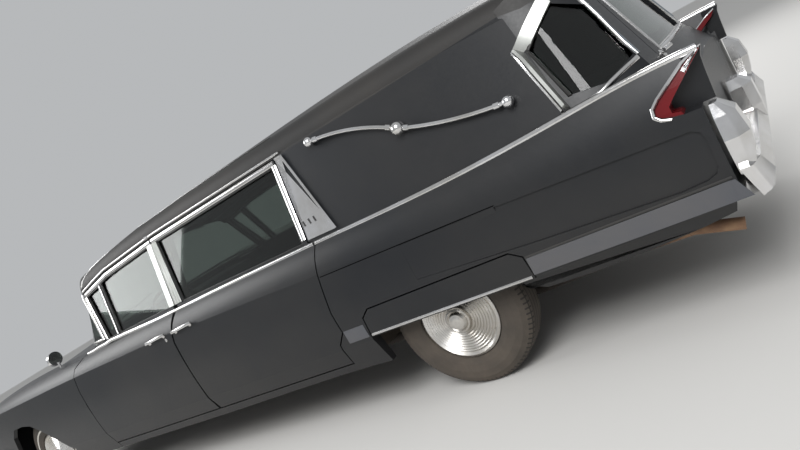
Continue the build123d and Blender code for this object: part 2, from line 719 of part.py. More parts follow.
# Front suspension: a beam under the frame with two arms each side that hold the kingpins
ARM_Z = (235, 475)
with BuildPart() as suspension:
    add(block(FRONT_AXLE - 60, FRONT_AXLE + 60, 0, 456, 215, 310))
    add(block(FRONT_AXLE - 60, FRONT_AXLE + 60, 441, 456, 215, 495))
    for z in ARM_Z:
        with BuildSketch(Plane.XY.offset(z - 10)):
            with Locations((FRONT_AXLE, (440 + KINGPIN_Y) / 2)):
                Rectangle(80, KINGPIN_Y - 440)
            with Locations((FRONT_AXLE, KINGPIN_Y)):
                Circle(40)
        extrude(amount=20)
        with BuildSketch(Plane.XY.offset(z - 10)):
            with Locations((FRONT_AXLE, KINGPIN_Y)):
                Circle(KINGPIN_R + RUNNING)
        extrude(amount=20, mode=Mode.SUBTRACT)
keep(both_sides(suspension.part), "front_suspension")

# Steering knuckles with spindle and steering arm
with BuildPart() as knuckle:
    with Locations((FRONT_AXLE, KINGPIN_Y, AXLE_Z)):
        Cylinder(KINGPIN_R, 268)
        Box(64, 44, 208)
    with Locations(Plane(origin=(FRONT_AXLE, KINGPIN_Y, AXLE_Z), z_dir=(0, 1, 0))):
        Cylinder(SPINDLE_R, TRACK_HALF + 68 - KINGPIN_Y, align=(Align.CENTER, Align.CENTER, Align.MIN))
    add(block(FRONT_AXLE - 150, FRONT_AXLE, 668, 690, 300, 322))
keep_pair(knuckle.part, "knuckle")

# Exhaust: pipe outside the left frame rail, muffler and tailpipe
PIPE_R = 25
PIPE = [
    (1515, 216, 400), (1515, 560, 400), (1380, 560, 262), (-2060, 560, 262), (-2560, 750, 352), (-2806, 750, 352),
    (-2985, 750, 305),
]
with BuildPart() as exhaust:
    with BuildLine() as run:
        FilletPolyline(*PIPE, radius=70)
    with BuildSketch(Plane(origin=run.line @ 0, z_dir=run.line % 0)):
        Circle(PIPE_R)
    sweep(path=run.line)
    with Locations(Plane(origin=(-350, 560, 262), z_dir=(1, 0, 0))):
        Cylinder(58, 560)
keep(exhaust.part, "exhaust")

# Dashboard, steering column and wheel
DASH = [(985, 840), (1296, 820), (1296, 930), (1430, 930), (1430, 968), (1180, 985), (1010, 965), (975, 905)]
dash = common(cabin_lining, side_prism(DASH, 785, 0))
keep(both_sides(less(dash, cowl)), "dashboard")
STEER = Plane(origin=(650, 370, 930), x_dir=(0, 1, 0), z_dir=(-cos(radians(24)), 0, sin(radians(24))))
with BuildPart() as column:
    with Locations(STEER):
        with Locations((0, 0, -760)):
            Cylinder(25, 760 - 36, align=(Align.CENTER, Align.CENTER, Align.MIN))
        with Locations((0, 0, -80)):
            Cylinder(14, 89, align=(Align.CENTER, Align.CENTER, Align.MIN))
keep(common(column.part, block(0, 1296, 0, 700, 334, 1100)), "steering_column")
with BuildPart() as steering_wheel:
    with Locations(STEER):
        Torus(203, 12)
        Box(390, 28, 12)
        with Locations((0, 0, -30)):
            Cylinder(34, 50, align=(Align.CENTER, Align.CENTER, Align.MIN))
            Cylinder(14 + RUNNING, 40, align=(Align.CENTER, Align.CENTER, Align.MIN), mode=Mode.SUBTRACT)
keep(steering_wheel.part, "steering_wheel")

# Front seat
seat = joined(block(-160, 420, 0, 700, 334, 600), block(-236, -100, 0, 700, 400, 960))
keep(both_sides(seat), "front_seat")
print("all done", len(nodes))
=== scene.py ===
# %% [markdown]
# # A long hearse in flat black
# The car's panels, glass, wheels and frame come from a CAD model that is already at its real size. This
# lesson dresses them: it gives each surface a finish, and adds the bright trim that a coachbuilder screws
# on last. The first cell loads the CAD model. Trim may stand only a little outside it.

# %% Load the car
import bpy
from math import cos, pi, radians, sin
from mathutils import Matrix, Vector
from mathutils.bvhtree import BVHTree


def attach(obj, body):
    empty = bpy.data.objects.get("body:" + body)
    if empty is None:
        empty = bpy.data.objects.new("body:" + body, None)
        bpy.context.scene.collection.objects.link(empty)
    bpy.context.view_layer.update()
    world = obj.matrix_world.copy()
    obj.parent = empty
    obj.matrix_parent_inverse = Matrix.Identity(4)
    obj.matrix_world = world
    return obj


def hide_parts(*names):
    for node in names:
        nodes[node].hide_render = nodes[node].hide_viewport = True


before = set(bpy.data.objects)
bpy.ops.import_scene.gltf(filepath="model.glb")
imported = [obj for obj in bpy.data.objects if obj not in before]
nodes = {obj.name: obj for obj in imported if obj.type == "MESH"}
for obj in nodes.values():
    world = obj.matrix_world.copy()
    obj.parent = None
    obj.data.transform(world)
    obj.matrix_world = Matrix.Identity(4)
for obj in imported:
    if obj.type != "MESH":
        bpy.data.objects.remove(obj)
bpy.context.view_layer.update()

# %% [markdown]
# ## Camera
# The photograph was taken from beside the rear quarter, with the camera held at a steep tilt. Rotation
# angles would place it too, but the tilt is easier to follow in three directions: to its right, up, and the
# way it looks. Blender's camera looks along its own -Z.

# %% Camera
EYE = Vector((-3.360, 3.389, 1.2375))
YAW, PITCH, ROLL = radians(-56.35), radians(-6.71), radians(-29.66)
PICTURE_WIDTH, FOCAL_PIXELS = 800, 654.9
SENSOR_MM = 36
VIEW_DEPTH = 200
look = Vector((cos(PITCH) * cos(YAW), cos(PITCH) * sin(YAW), sin(PITCH)))
level = look.cross(Vector((0, 0, 1))).normalized()
rise = level.cross(look)
right = level * cos(ROLL) + rise * sin(ROLL)
up = rise * cos(ROLL) - level * sin(ROLL)
camera = bpy.data.objects.new("camera", bpy.data.cameras.new("camera"))
camera.data.sensor_width = SENSOR_MM
camera.data.lens = FOCAL_PIXELS / PICTURE_WIDTH * SENSOR_MM
camera.data.clip_end = VIEW_DEPTH
camera.matrix_world = Matrix.Translation(EYE) @ Matrix((right, up, -look)).transposed().to_4x4()
bpy.context.scene.collection.objects.link(camera)
bpy.context.scene.camera = camera
bpy.context.scene.view_settings.view_transform = "Standard"
print("lens", round(camera.data.lens, 2))

# %% [markdown]
# ## Floor and light
# A pale floor and three large soft lamps stand in for a studio. The world is pale too, so that chrome has
# something to show, but weak enough for the flat black paint to stay black. A sun would throw a hard
# shadow.

# %% Floor and world
FLOOR_SIZE = 60
FLOOR_GREY, FLOOR_ROUGH = (0.62, 0.61, 0.59, 1), 0.9
SKY_GREY, SKY_STRENGTH = (0.86, 0.88, 0.90, 1), 0.55
bpy.ops.object.select_all(action="DESELECT")
bpy.ops.mesh.primitive_plane_add(size=FLOOR_SIZE, location=(0, 0, 0))
floor = bpy.context.object
floor.name = "studio_floor"
floor_finish = bpy.data.materials.new("studio_floor")
floor_finish.use_nodes = True
matt = floor_finish.node_tree.nodes["Principled BSDF"].inputs
matt["Base Color"].default_value = FLOOR_GREY
matt["Roughness"].default_value = FLOOR_ROUGH
floor.data.materials.append(floor_finish)

world = bpy.data.worlds.new("studio")
bpy.context.scene.world = world
world.use_nodes = True
sky = world.node_tree.nodes["Background"].inputs
sky["Color"].default_value = SKY_GREY
sky["Strength"].default_value = SKY_STRENGTH
print("floor", FLOOR_SIZE, "m wide, sky", SKY_STRENGTH)

# %% Lamps
CAR_MIDDLE = Vector((0, 0, 0.7))


def lamp(name, place, size, power):
    """A square soft lamp that faces the middle of the car."""
    light = bpy.data.lights.new(name, "AREA")
    light.size = size
    light.energy = power
    holder = bpy.data.objects.new(name, light)
    holder.location = place
    holder.rotation_euler = (CAR_MIDDLE - Vector(place)).to_track_quat("-Z", "Y").to_euler()
    bpy.context.scene.collection.objects.link(holder)
    print(name, power, "W")


lamp("key_lamp", (-3.5, 7.0, 6.5), size=4.5, power=620)
lamp("fill_lamp", (6.5, 3.0, 5.0), size=4.0, power=260)
lamp("back_lamp", (-1.0, -7.5, 6.0), size=4.5, power=380)

# %% [markdown]
# ## Effects that several finishes share
# Old paint, chrome and rubber all carry the same road dust, thicker near the ground, and the same slow
# blotches. On the black paint and the roof the blotches are partly wear and partly painted patches of
# sunlight. Each effect is one node group with a few dials, placed in every material that needs it. Copied
# nodes would drift apart with the first change.


# %% Node helpers
def new_group(name, dials, results):
    """A shader node group with number inputs and the named outputs."""
    group = bpy.data.node_groups.new(name, "ShaderNodeTree")
    for dial, value in dials.items():
        group.interface.new_socket(dial, in_out="INPUT", socket_type="NodeSocketFloat").default_value = value
    for result in results:
        group.interface.new_socket(result, in_out="OUTPUT", socket_type="NodeSocketFloat")
    return group, group.nodes.new("NodeGroupInput"), group.nodes.new("NodeGroupOutput")


def node(tree, kind, settings=None, **inputs):
    """One node with its settings and its input values or links. Input i6 is the one with number 6."""
    made = tree.nodes.new(kind)
    for key, value in (settings or {}).items():
        setattr(made, key, value)
    for key, value in inputs.items():
        socket = made.inputs[int(key[1:])] if key[0] == "i" and key[1:].isdigit() else made.inputs[key]
        if isinstance(value, bpy.types.NodeSocket):
            tree.links.new(value, socket)
        else:
            socket.default_value = value
    return made


def maths(tree, operation, a, b=0.0, clamp=False):
    return node(tree, "ShaderNodeMath", {"operation": operation, "use_clamp": clamp}, i0=a, i1=b).outputs[0]


def mix(tree, share, first, second):
    """A colour that goes from the first to the second as the share grows."""
    return node(tree, "ShaderNodeMix", {"data_type": "RGBA"}, i0=share, i6=first, i7=second).outputs[2]


def along_axes(tree):
    """The X, Y and Z of the shaded point in the object's own coordinates."""
    place = node(tree, "ShaderNodeTexCoord").outputs["Object"]
    return node(tree, "ShaderNodeSeparateXYZ", i0=place).outputs


# %% Dust that thins with height
HIGH_SHARE = 0.18  # how much of the dust lies above the given height too
dust_group, dust_in, dust_out = new_group("road_dust", {"Height": 0.7, "Amount": 0.5, "Grain": 9.0}, ["Mask"])
climb = maths(dust_group, "DIVIDE", along_axes(dust_group)["Z"], dust_in.outputs["Height"], True)
low = maths(dust_group, "SUBTRACT", 1.0, climb, True)
place = node(dust_group, "ShaderNodeTexCoord").outputs["Object"]
cloud = node(
    dust_group, "ShaderNodeTexNoise", Vector=place, Scale=dust_in.outputs["Grain"], Detail=6.0, Roughness=0.62
)
spread = maths(dust_group, "MULTIPLY", cloud.outputs["Fac"], maths(dust_group, "ADD", low, HIGH_SHARE))
mask = maths(dust_group, "MULTIPLY", spread, dust_in.outputs["Amount"], True)
dust_group.links.new(mask, dust_out.inputs["Mask"])
print(dust_group.name, len(dust_group.nodes), "nodes")

# %% Slow blotches and fine grain
BLOTCH_FROM, BLOTCH_TO = 0.38, 0.66  # the noise values at which a blotch starts and is full
# On the paints these blotches are partly painted patches of sunlight.
wear_and_sun_group, wear_and_sun_in, wear_and_sun_out = new_group("ageing_and_sun_patches", {"Blotch": 1.3, "Grain": 90.0}, ["Blotches", "Fine"])
place = node(wear_and_sun_group, "ShaderNodeTexCoord").outputs["Object"]
slow = node(
    wear_and_sun_group, "ShaderNodeTexNoise", Vector=place, Scale=wear_and_sun_in.outputs["Blotch"], Detail=5.0, Roughness=0.55
)
ramp = node(wear_and_sun_group, "ShaderNodeMapRange", i0=slow.outputs["Fac"], i1=BLOTCH_FROM, i2=BLOTCH_TO)
fine = node(wear_and_sun_group, "ShaderNodeTexNoise", Vector=place, Scale=wear_and_sun_in.outputs["Grain"], Detail=3.0)
wear_and_sun_group.links.new(ramp.outputs[0], wear_and_sun_out.inputs["Blotches"])
wear_and_sun_group.links.new(fine.outputs["Fac"], wear_and_sun_out.inputs["Fine"])
print(wear_and_sun_group.name, len(wear_and_sun_group.nodes), "nodes")

# %% [markdown]
# ## Finishes
# `finish_of` builds one aged material: two close colours that the blotches mix, dust on top, and a
# roughness and a bump that follow the same noises. On the paints the second, lighter colour is partly
# wear and partly painted sunlight. Each real finish is then one call with its own values. A painted image
# could do it too, but every panel would first have to be unwrapped.


# %% The aged finish, with painted sunlight on the paints
DUST = (0.17, 0.14, 0.11, 1)
DUST_DULLS = 0.5  # roughness that full dust adds
GRAIN_DEPTH = 0.002


def finish_of(name, colour, worn_and_sunlit, rough, dust=0.5, bump=0.02, grain=90.0, blotch=1.3, high=0.7, **fixed):
    """A material whose colour, gloss and bump vary over the surface. fixed are plain shader values."""
    made = bpy.data.materials.new(name)
    made.use_nodes = True
    tree = made.node_tree
    shader = tree.nodes["Principled BSDF"]
    wear_and_sun = node(tree, "ShaderNodeGroup", {"node_tree": wear_and_sun_group}, Blotch=blotch, Grain=grain)
    veil = node(tree, "ShaderNodeGroup", {"node_tree": dust_group}, Height=high, Amount=dust)
    two = mix(tree, wear_and_sun.outputs["Blotches"], (*colour, 1), (*worn_and_sunlit, 1))
    tree.links.new(mix(tree, veil.outputs["Mask"], two, DUST), shader.inputs["Base Color"])
    gloss = maths(tree, "ADD", rough[0], maths(tree, "MULTIPLY", wear_and_sun.outputs["Fine"], rough[1] - rough[0]))
    dulled = maths(tree, "ADD", gloss, maths(tree, "MULTIPLY", veil.outputs["Mask"], DUST_DULLS), True)
    tree.links.new(dulled, shader.inputs["Roughness"])
    if bump:
        relief = node(tree, "ShaderNodeBump", Strength=bump, Distance=GRAIN_DEPTH, Height=wear_and_sun.outputs["Fine"])
        tree.links.new(relief.outputs["Normal"], shader.inputs["Normal"])
    for socket, value in fixed.items():
        shader.inputs[socket.replace("_", " ")].default_value = value
    print("finish", name)
    return made


# %% Paints
# The lighter second colours of the black paint and the roof paint are partly fading and partly painted
# patches of sunlight.
BLACK = finish_of(
    "flat_black_paint", (0.0060, 0.0074, 0.0100), (0.0135, 0.0140, 0.0150), (0.30, 0.44),
    dust=0.10, bump=0.05, Specular_IOR_Level=0.42,
)
ROOF = finish_of(
    "faded_and_sunlit_roof_paint", (0.0095, 0.0092, 0.0092), (0.0180, 0.0160, 0.0140), (0.50, 0.62),
    dust=0.15, bump=0.10,
)
BAND = finish_of(
    "grey_lower_band", (0.062, 0.069, 0.084), (0.082, 0.084, 0.092), (0.34, 0.46),
    dust=0.4, bump=0.05,
)
PALE = finish_of(
    "pale_post_paint", (0.20, 0.245, 0.28), (0.25, 0.28, 0.30), (0.25, 0.35),
    dust=0.2, bump=0.05, Metallic=0.6,
)
SHADE = finish_of(
    "crease_shadow", (0.0020, 0.0021, 0.0023), (0.0030, 0.0031, 0.0033), (0.85, 0.95),
    dust=0.0, bump=0.0, Specular_IOR_Level=0.05,
)

# %% Bright metals
CHROME = finish_of(
    "worn_chrome", (0.78, 0.78, 0.79), (0.64, 0.63, 0.61), (0.10, 0.22),
    dust=0.4, bump=0.03, grain=60.0, blotch=5.0, Metallic=1.0,
)
SATIN = finish_of(
    "satin_aluminium", (0.47, 0.48, 0.46), (0.37, 0.38, 0.36), (0.30, 0.42),
    dust=0.3, bump=0.05, grain=60.0, blotch=4.0, Metallic=0.85,
)
STEEL = finish_of(
    "wheel_cover_steel", (0.76, 0.75, 0.73), (0.58, 0.55, 0.50), (0.17, 0.28),
    dust=0.4, bump=0.02, grain=60.0, blotch=6.0, Metallic=1.0,
)

# %% Inside, underneath and lamps
TRIM = finish_of(
    "dark_trim", (0.045, 0.045, 0.047), (0.065, 0.063, 0.060), (0.55, 0.70),
    dust=0.2, bump=0.3, grain=400.0,
)
HIDE = finish_of(
    "dark_upholstery", (0.060, 0.052, 0.046), (0.085, 0.075, 0.066), (0.45, 0.60),
    dust=0.2, bump=0.35, grain=260.0,
)
UNDER = finish_of(
    "underbody_black", (0.020, 0.019, 0.018), (0.050, 0.038, 0.030), (0.60, 0.80),
    dust=0.9, bump=0.25, grain=70.0,
)
IRON = finish_of(
    "greasy_iron", (0.085, 0.080, 0.075), (0.050, 0.045, 0.040), (0.45, 0.65),
    dust=0.6, bump=0.3, grain=120.0,
)
# On the exhaust this rust is overlaid up front with a painted shade, further down.
RUST_AND_SHADE = finish_of(
    "rusty_tube_and_painted_shade", (0.20, 0.105, 0.060), (0.34, 0.20, 0.11), (0.70, 0.85),
    dust=0.4, bump=0.5, grain=160.0, blotch=14.0,
)
DECK = finish_of(
    "varnished_deck", (0.16, 0.080, 0.036), (0.11, 0.052, 0.024), (0.25, 0.40),
    dust=0.2, bump=0.1, grain=50.0, blotch=3.0,
)
RED = finish_of(
    "red_lens", (0.130, 0.003, 0.006), (0.095, 0.004, 0.006), (0.16, 0.26),
    dust=0.2, bump=0.05, grain=200.0, Specular_IOR_Level=0.3,
)
BEAM = finish_of(
    "sealed_beam", (0.34, 0.36, 0.38), (0.28, 0.29, 0.29), (0.10, 0.22),
    dust=0.2, bump=0.10, grain=30.0, Metallic=0.7, Coat_Weight=1.0,
)
# This black finish is the rubber and the steering wheel's rim, and also the painted shade of dark strips in
# grooves and louvres.
GRIP_AND_GROOVE_SHADE = finish_of(
    "black_rim_and_groove_shade", (0.020, 0.020, 0.021), (0.030, 0.029, 0.028), (0.25, 0.35),
    dust=0.1, bump=0.05,
)

# %% [markdown]
# ## Glass and tyres
# The windows are tinted green-grey and see-through, so they keep plain transmission. Their tint is darker
# than the glass's own, a painted shade for dark surroundings seen in and through them. The tyre's finish
# reads its distance from the nearest axle, which puts a thin pale ring on the front sidewalls and cuts the
# tread of all four tyres with lines of painted shade and a bump. Modelled grooves would need many thousands
# of faces.

# %% Glass
# The tint is partly the glass's own and partly a painted shade for dark surroundings seen in and through the
# windows.
PANE_TINT_AND_SHADE, PANE_DUST = (0.28, 0.325, 0.30, 1), (0.6, 0.6, 0.55, 1)
PANE_ROUGH, PANE_DULLED = 0.01, 0.3  # roughness of clean glass, and what full dust adds to it
PANE = bpy.data.materials.new("tinted_and_shaded_pane")
PANE.use_nodes = True
tree = PANE.node_tree
shader = tree.nodes["Principled BSDF"]
veil = node(tree, "ShaderNodeGroup", {"node_tree": dust_group}, Height=2.0, Amount=0.10, Grain=5.0)
tree.links.new(mix(tree, veil.outputs["Mask"], PANE_TINT_AND_SHADE, PANE_DUST), shader.inputs["Base Color"])
dulled = maths(tree, "ADD", PANE_ROUGH, maths(tree, "MULTIPLY", veil.outputs["Mask"], PANE_DULLED))
tree.links.new(dulled, shader.inputs["Roughness"])
shader.inputs["Transmission Weight"].default_value = 1.0
shader.inputs["IOR"].default_value = 1.45
print("glass", PANE.name)

# %% Pale ring on the front tyres
AXLES, AXLE_HEIGHT = (2.252, -1.710), 0.355
RING_FROM, RING_TO = 0.255, 0.268
RING_PALE = (0.55, 0.53, 0.48, 1)
TYRE = finish_of(
    "dusty_tyre", (0.020, 0.018, 0.016), (0.042, 0.034, 0.028), (0.62, 0.80),
    dust=0.6, bump=0.3, grain=220.0, blotch=5.0, high=0.9,
)
tree = TYRE.node_tree
shader = tree.nodes["Principled BSDF"]
parts = along_axes(tree)
above = maths(tree, "SUBTRACT", parts["Z"], AXLE_HEIGHT)
ahead = [maths(tree, "SUBTRACT", parts["X"], axle) for axle in AXLES]
spans = []
for run in ahead:
    square = maths(tree, "ADD", maths(tree, "MULTIPLY", run, run), maths(tree, "MULTIPLY", above, above))
    spans.append(maths(tree, "SQRT", square))
radius = maths(tree, "MINIMUM", *spans)
past, short = maths(tree, "GREATER_THAN", radius, RING_FROM), maths(tree, "LESS_THAN", radius, RING_TO)
front = maths(tree, "GREATER_THAN", parts["X"], 0.0)
ring = maths(tree, "MULTIPLY", maths(tree, "MULTIPLY", past, short), front)
ringed = mix(tree, ring, shader.inputs["Base Color"].links[0].from_socket, RING_PALE)
tree.links.new(ringed, shader.inputs["Base Color"])
print("axles", AXLES, "ring", RING_FROM, RING_TO)

# %% Tread grooves, cut by bump and lines of painted shade
TYRE_MIDDLE, TREAD_RADIUS, TREAD_EDGE = 0.785, 0.335, 0.052
GROOVE_PITCH, GROOVE_LEVEL = 0.030, 0.80  # a groove shows where its wave is above the level
SLOTS_ROUND, SLOT_LEVEL = 84.0, 0.55
# The dark colour in the grooves is a painted shade for the shade inside them.
GROOVE_SHADE, GROOVE_SHADE_SHARE, GROOVE_DEPTH = (0.010, 0.009, 0.008, 1), 0.8, 3.0
across = maths(tree, "SUBTRACT", maths(tree, "ABSOLUTE", parts["Y"]), TYRE_MIDDLE)
wave = maths(tree, "SINE", maths(tree, "MULTIPLY", across, 2 * pi / GROOVE_PITCH))
rings = maths(tree, "GREATER_THAN", wave, GROOVE_LEVEL)
turns = [maths(tree, "MULTIPLY", maths(tree, "ARCTAN2", above, run), SLOTS_ROUND) for run in ahead]
turn = node(tree, "ShaderNodeMix", {"data_type": "FLOAT"}, i0=front, i2=turns[1], i3=turns[0]).outputs[0]
slots = maths(tree, "GREATER_THAN", maths(tree, "SINE", turn), SLOT_LEVEL)
edge = maths(tree, "GREATER_THAN", maths(tree, "ABSOLUTE", across), TREAD_EDGE)
pattern = maths(tree, "MAXIMUM", rings, maths(tree, "MULTIPLY", slots, edge))
cut = maths(tree, "MULTIPLY", pattern, maths(tree, "GREATER_THAN", radius, TREAD_RADIUS))
groove_shaded = mix(tree, maths(tree, "MULTIPLY", cut, GROOVE_SHADE_SHARE), ringed, GROOVE_SHADE)
tree.links.new(groove_shaded, shader.inputs["Base Color"])
relief = shader.inputs["Normal"].links[0].from_node
grain = relief.inputs["Height"].links[0].from_socket
sunk = maths(tree, "SUBTRACT", grain, maths(tree, "MULTIPLY", cut, GROOVE_DEPTH))
tree.links.new(sunk, relief.inputs["Height"])
print(TYRE.name, len(tree.nodes), "nodes")

# %% [markdown]
# ## Exhaust and panels
# The exhaust is painted dark up front, a painted shade for the pipe where it lies in the shadow under the
# car, and only its tail end shows its rust, so the rust fades in along X. Then every CAD node gets its
# finish by its name. The flat black is what most of them wear, so the table lists only the others.

# %% Rust at the tail end, painted shade in front of it
RUST_FROM, RUST_FULL = -2.60, -2.80
# The dark colour below is a painted shade for the pipe where it lies in the shadow under the car.
PIPE_SHADE = (0.030, 0.024, 0.020, 1)
tree = RUST_AND_SHADE.node_tree
shader = tree.nodes["Principled BSDF"]
back = node(tree, "ShaderNodeMapRange", i0=along_axes(tree)["X"], i1=RUST_FROM, i2=RUST_FULL).outputs[0]
mixed = mix(tree, back, PIPE_SHADE, shader.inputs["Base Color"].links[0].from_socket)
tree.links.new(mixed, shader.inputs["Base Color"])
print("rust from", RUST_FROM, "to", RUST_FULL)

# %% Dress the CAD nodes
WEARS = {
    "roof": ROOF, "b_pillars": TRIM, "dashboard": TRIM, "steering_column": TRIM, "steering_wheel": GRIP_AND_GROOVE_SHADE,
    "front_seat": HIDE, "load_deck": DECK, "bumper_front": CHROME, "bumper_rear": CHROME, "grille": CHROME,
    "landau_bars": CHROME, "fender_mirror": CHROME, "tail_lamps": RED, "headlamps": BEAM,
    "chassis_frame": UNDER, "floor_pan": UNDER, "inner_fenders": UNDER, "rear_axle": UNDER,
    "front_suspension": UNDER, "radiator": UNDER, "fuel_tank": UNDER, "engine_block": IRON, "exhaust": RUST_AND_SHADE,
}
KINDS = {"glass": PANE, "windshield": PANE, "tyre": TYRE, "wheel": STEEL, "knuckle": IRON}
for name, piece in nodes.items():
    finish = KINDS.get(name.split("_")[0], WEARS.get(name, BLACK))
    for slot in piece.material_slots:
        slot.material = finish
print("dressed", len(nodes))

# %% [markdown]
# ## Touching the skin
# Bright trim is screwed to panels that curve, so its exact place can't be guessed. A ray shot at a CAD node
# gives the point where it meets the skin and the way the skin faces there. Each piece of trim then needs
# only the two coordinates that a ruler would give on a side view, a plan, a rear view or a front view. A
# shrinkwrap modifier could pull trim onto the skin, but it would also bend its section.

# %% A search tree over the skin
def skin_of(*names):
    """A search tree over the faces of some CAD nodes."""
    points, faces = [], []
    for name in names:
        mesh = nodes[name].data
        first = len(points)
        points += [v.co.copy() for v in mesh.vertices]
        faces += [[first + i for i in f.vertices] for f in mesh.polygons]
    return BVHTree.FromPolygons(points, faces)


# %% Rays onto the skin
SIDE, PLAN, REAR, FRONT = Vector((0, -1, 0)), Vector((0, 0, -1)), Vector((1, 0, 0)), Vector((-1, 0, 0))
BESIDE, ABOVE, BEHIND, AHEAD = 1.5, 2.0, -4.0, 4.0  # where rays start, clear of the car


def cast(skin, marks, way, lift=0.0):
    """Where rays from the marks, going the given way, meet a skin, and the mean way it faces there."""
    hits, facing = [], Vector()
    for mark in marks:
        point, normal, _, _ = skin.ray_cast(Vector(mark), way)
        if point is None:
            print("no skin under", [round(c, 3) for c in mark])
            continue
        hits.append(point)
        facing += -normal if normal.dot(way) > 0 else normal
    facing.normalize()
    return [h + facing * lift for h in hits], facing


# %% Rays from the side, from above, from behind and from the front
def on_side(skin, marks, lift=0.0):
    return cast(skin, [(x, BESIDE, z) for x, z in marks], SIDE, lift)


def on_plan(skin, marks, lift=0.0):
    return cast(skin, [(x, y, ABOVE) for x, y in marks], PLAN, lift)


def on_rear(skin, marks, lift=0.0):
    return cast(skin, [(BEHIND, y, z) for y, z in marks], REAR, lift)


def on_front(skin, marks, lift=0.0):
    return cast(skin, [(AHEAD, y, z) for y, z in marks], FRONT, lift)


# %% More marks in between
def between(marks, step):
    """The marks with more put in between, about one step apart."""
    full = [tuple(marks[0])]
    for a, b in zip(marks, marks[1:]):
        steps = max(1, round((Vector(b) - Vector(a)).length / step))
        full += [tuple(Vector(a).lerp(Vector(b), i / steps)) for i in range(1, steps + 1)]
    return full


# %% The skins that carry trim
FRONT_DOOR = skin_of("door_front_left")
REAR_DOOR = skin_of("door_rear_left")
SIDES = skin_of("body_sides")
ROOFING = skin_of("roof")
SCUTTLE = skin_of("cowl")
TAIL = skin_of("tail_door")
SKIRT = skin_of("skirts")
print("skins ready, faces of the rear quarters:", len(nodes["body_sides"].data.polygons))

# %% [markdown]
# ## Strips and plates
# Mouldings are rolled strips with a rounded back. A strip starts as a flat disc with up to twelve corners,
# squashed to the moulding's width and thickness. It is extruded along its run, and each new end is turned
# halfway into the bend, like a mitre. A curve with a bevel would do too, but it has to be made a mesh
# before it can be exported. A plate starts as a disc with as many corners as its outline, and each corner
# is moved to its place.


# %% Start and end of a piece
def begin(name):
    """An empty piece at the origin, open in edit mode."""
    bpy.ops.object.select_all(action="DESELECT")
    bpy.ops.mesh.primitive_circle_add(vertices=3, location=(0, 0, 0))
    piece = bpy.context.object
    piece.name = piece.data.name = name
    bpy.ops.object.mode_set(mode="EDIT")
    bpy.ops.mesh.select_all(action="SELECT")
    bpy.ops.mesh.delete(type="VERT")
    return piece


def close(piece, smooth):
    """Back to object mode with faces outwards and soft shading."""
    bpy.ops.mesh.select_all(action="SELECT")
    bpy.ops.mesh.normals_make_consistent(inside=False)
    bpy.ops.object.mode_set(mode="OBJECT")
    bpy.ops.object.shade_smooth_by_angle(angle=radians(smooth))


# %% Finish, slot and body of a piece
def settle(piece, finish, holders, smooth=40):
    """Closes a piece, gives it its finish and fixes it to its body. A second holder gets a mirrored copy."""
    close(piece, smooth)
    piece.data.materials.append(finish)
    pair = [piece]
    if len(holders) == 2:
        name = piece.name
        bpy.ops.object.duplicate()
        copy = bpy.context.object
        copy.scale = (1, -1, 1)
        bpy.ops.object.transform_apply(location=False, rotation=False, scale=True)
        bpy.ops.object.mode_set(mode="EDIT")
        close(copy, smooth)
        piece.name = piece.data.name = name + "_left"
        copy.name = copy.data.name = name + "_right"
        pair.append(copy)
    for made, holder in zip(pair, holders):
        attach(made, holder)
        print(made.name, "on", holder, len(made.data.vertices), "corners")


# %% A disc across a run
def axes(along, facing):
    """Three directions as a matrix: across the run, the way it faces, and along it."""
    facing = (facing - along * facing.dot(along)).normalized()
    return Matrix((facing.cross(along), facing, along)).transposed()


def disc(middle, turn, radius, corners):
    """A flat disc in the open piece, left selected."""
    bpy.ops.mesh.select_all(action="DESELECT")
    bpy.ops.mesh.primitive_circle_add(
        vertices=corners, radius=radius, fill_type="NGON", location=middle, rotation=turn.to_euler()
    )


# %% A strip along a run
STRAIGHT = 0.002  # a bend below this angle, in radians, gets no mitre


def strip(run, wide, thick, facing, corners=10):
    """Adds one strip to the open piece."""
    run = [Vector(p) for p in run]
    ways = [(b - a).normalized() for a, b in zip(run, run[1:])]
    own = axes(ways[0], facing)
    grow = 1 / cos(pi / corners)
    disc(run[0], own @ Matrix.Rotation(pi / corners, 3, "Z"), 0.5 * grow, corners)
    bpy.ops.transform.resize(
        value=(wide, thick, 1), orient_type="GLOBAL", orient_matrix=own, orient_matrix_type="GLOBAL",
        center_override=run[0],
    )
    level = ways[0]
    for i, way in enumerate(ways):
        bpy.ops.mesh.extrude_region_move(TRANSFORM_OT_translate={"value": run[i + 1] - run[i]})
        wanted = (way + ways[min(i + 1, len(ways) - 1)]).normalized()
        angle = level.angle(wanted)
        if angle > STRAIGHT:
            axle = level.cross(wanted).normalized()
            side = axle.orthogonal().normalized()
            hinge = Matrix((side, axle.cross(side), axle)).transposed()
            bpy.ops.transform.rotate(
                value=-angle, orient_axis="Z", orient_type="GLOBAL", orient_matrix=hinge,
                orient_matrix_type="GLOBAL", center_override=run[i + 1],
            )
        level = wanted


# %% A moulding of one or more strips
ON_BODY = ("body", "body")
ON_FRONT_DOORS = ("door_front_left", "door_front_right")
ON_REAR_DOORS = ("door_rear_left", "door_rear_right")


def moulding(name, hits, wide, thick, holders=ON_BODY, finish=CHROME, corners=10, smooth=40):
    """A piece of rolled strips. hits gives the points and the facing of each strip, as a cast does."""
    piece = begin(name)
    for run, facing in hits:
        strip(run, wide, thick, facing, corners)
    settle(piece, finish, holders, smooth)


def stretched(run, before, after):
    """A run made longer at its ends."""
    first, last = (run[0] - run[1]).normalized(), (run[-1] - run[-2]).normalized()
    return [run[0] + first * before, *run[1:-1], run[-1] + last * after]


def loop(marks):
    """The sides of a closed outline."""
    return list(zip(marks, marks[1:] + marks[:1]))


# %% Corners that are moved one by one
START_SIZE = 0.1  # any size does, because every corner is moved


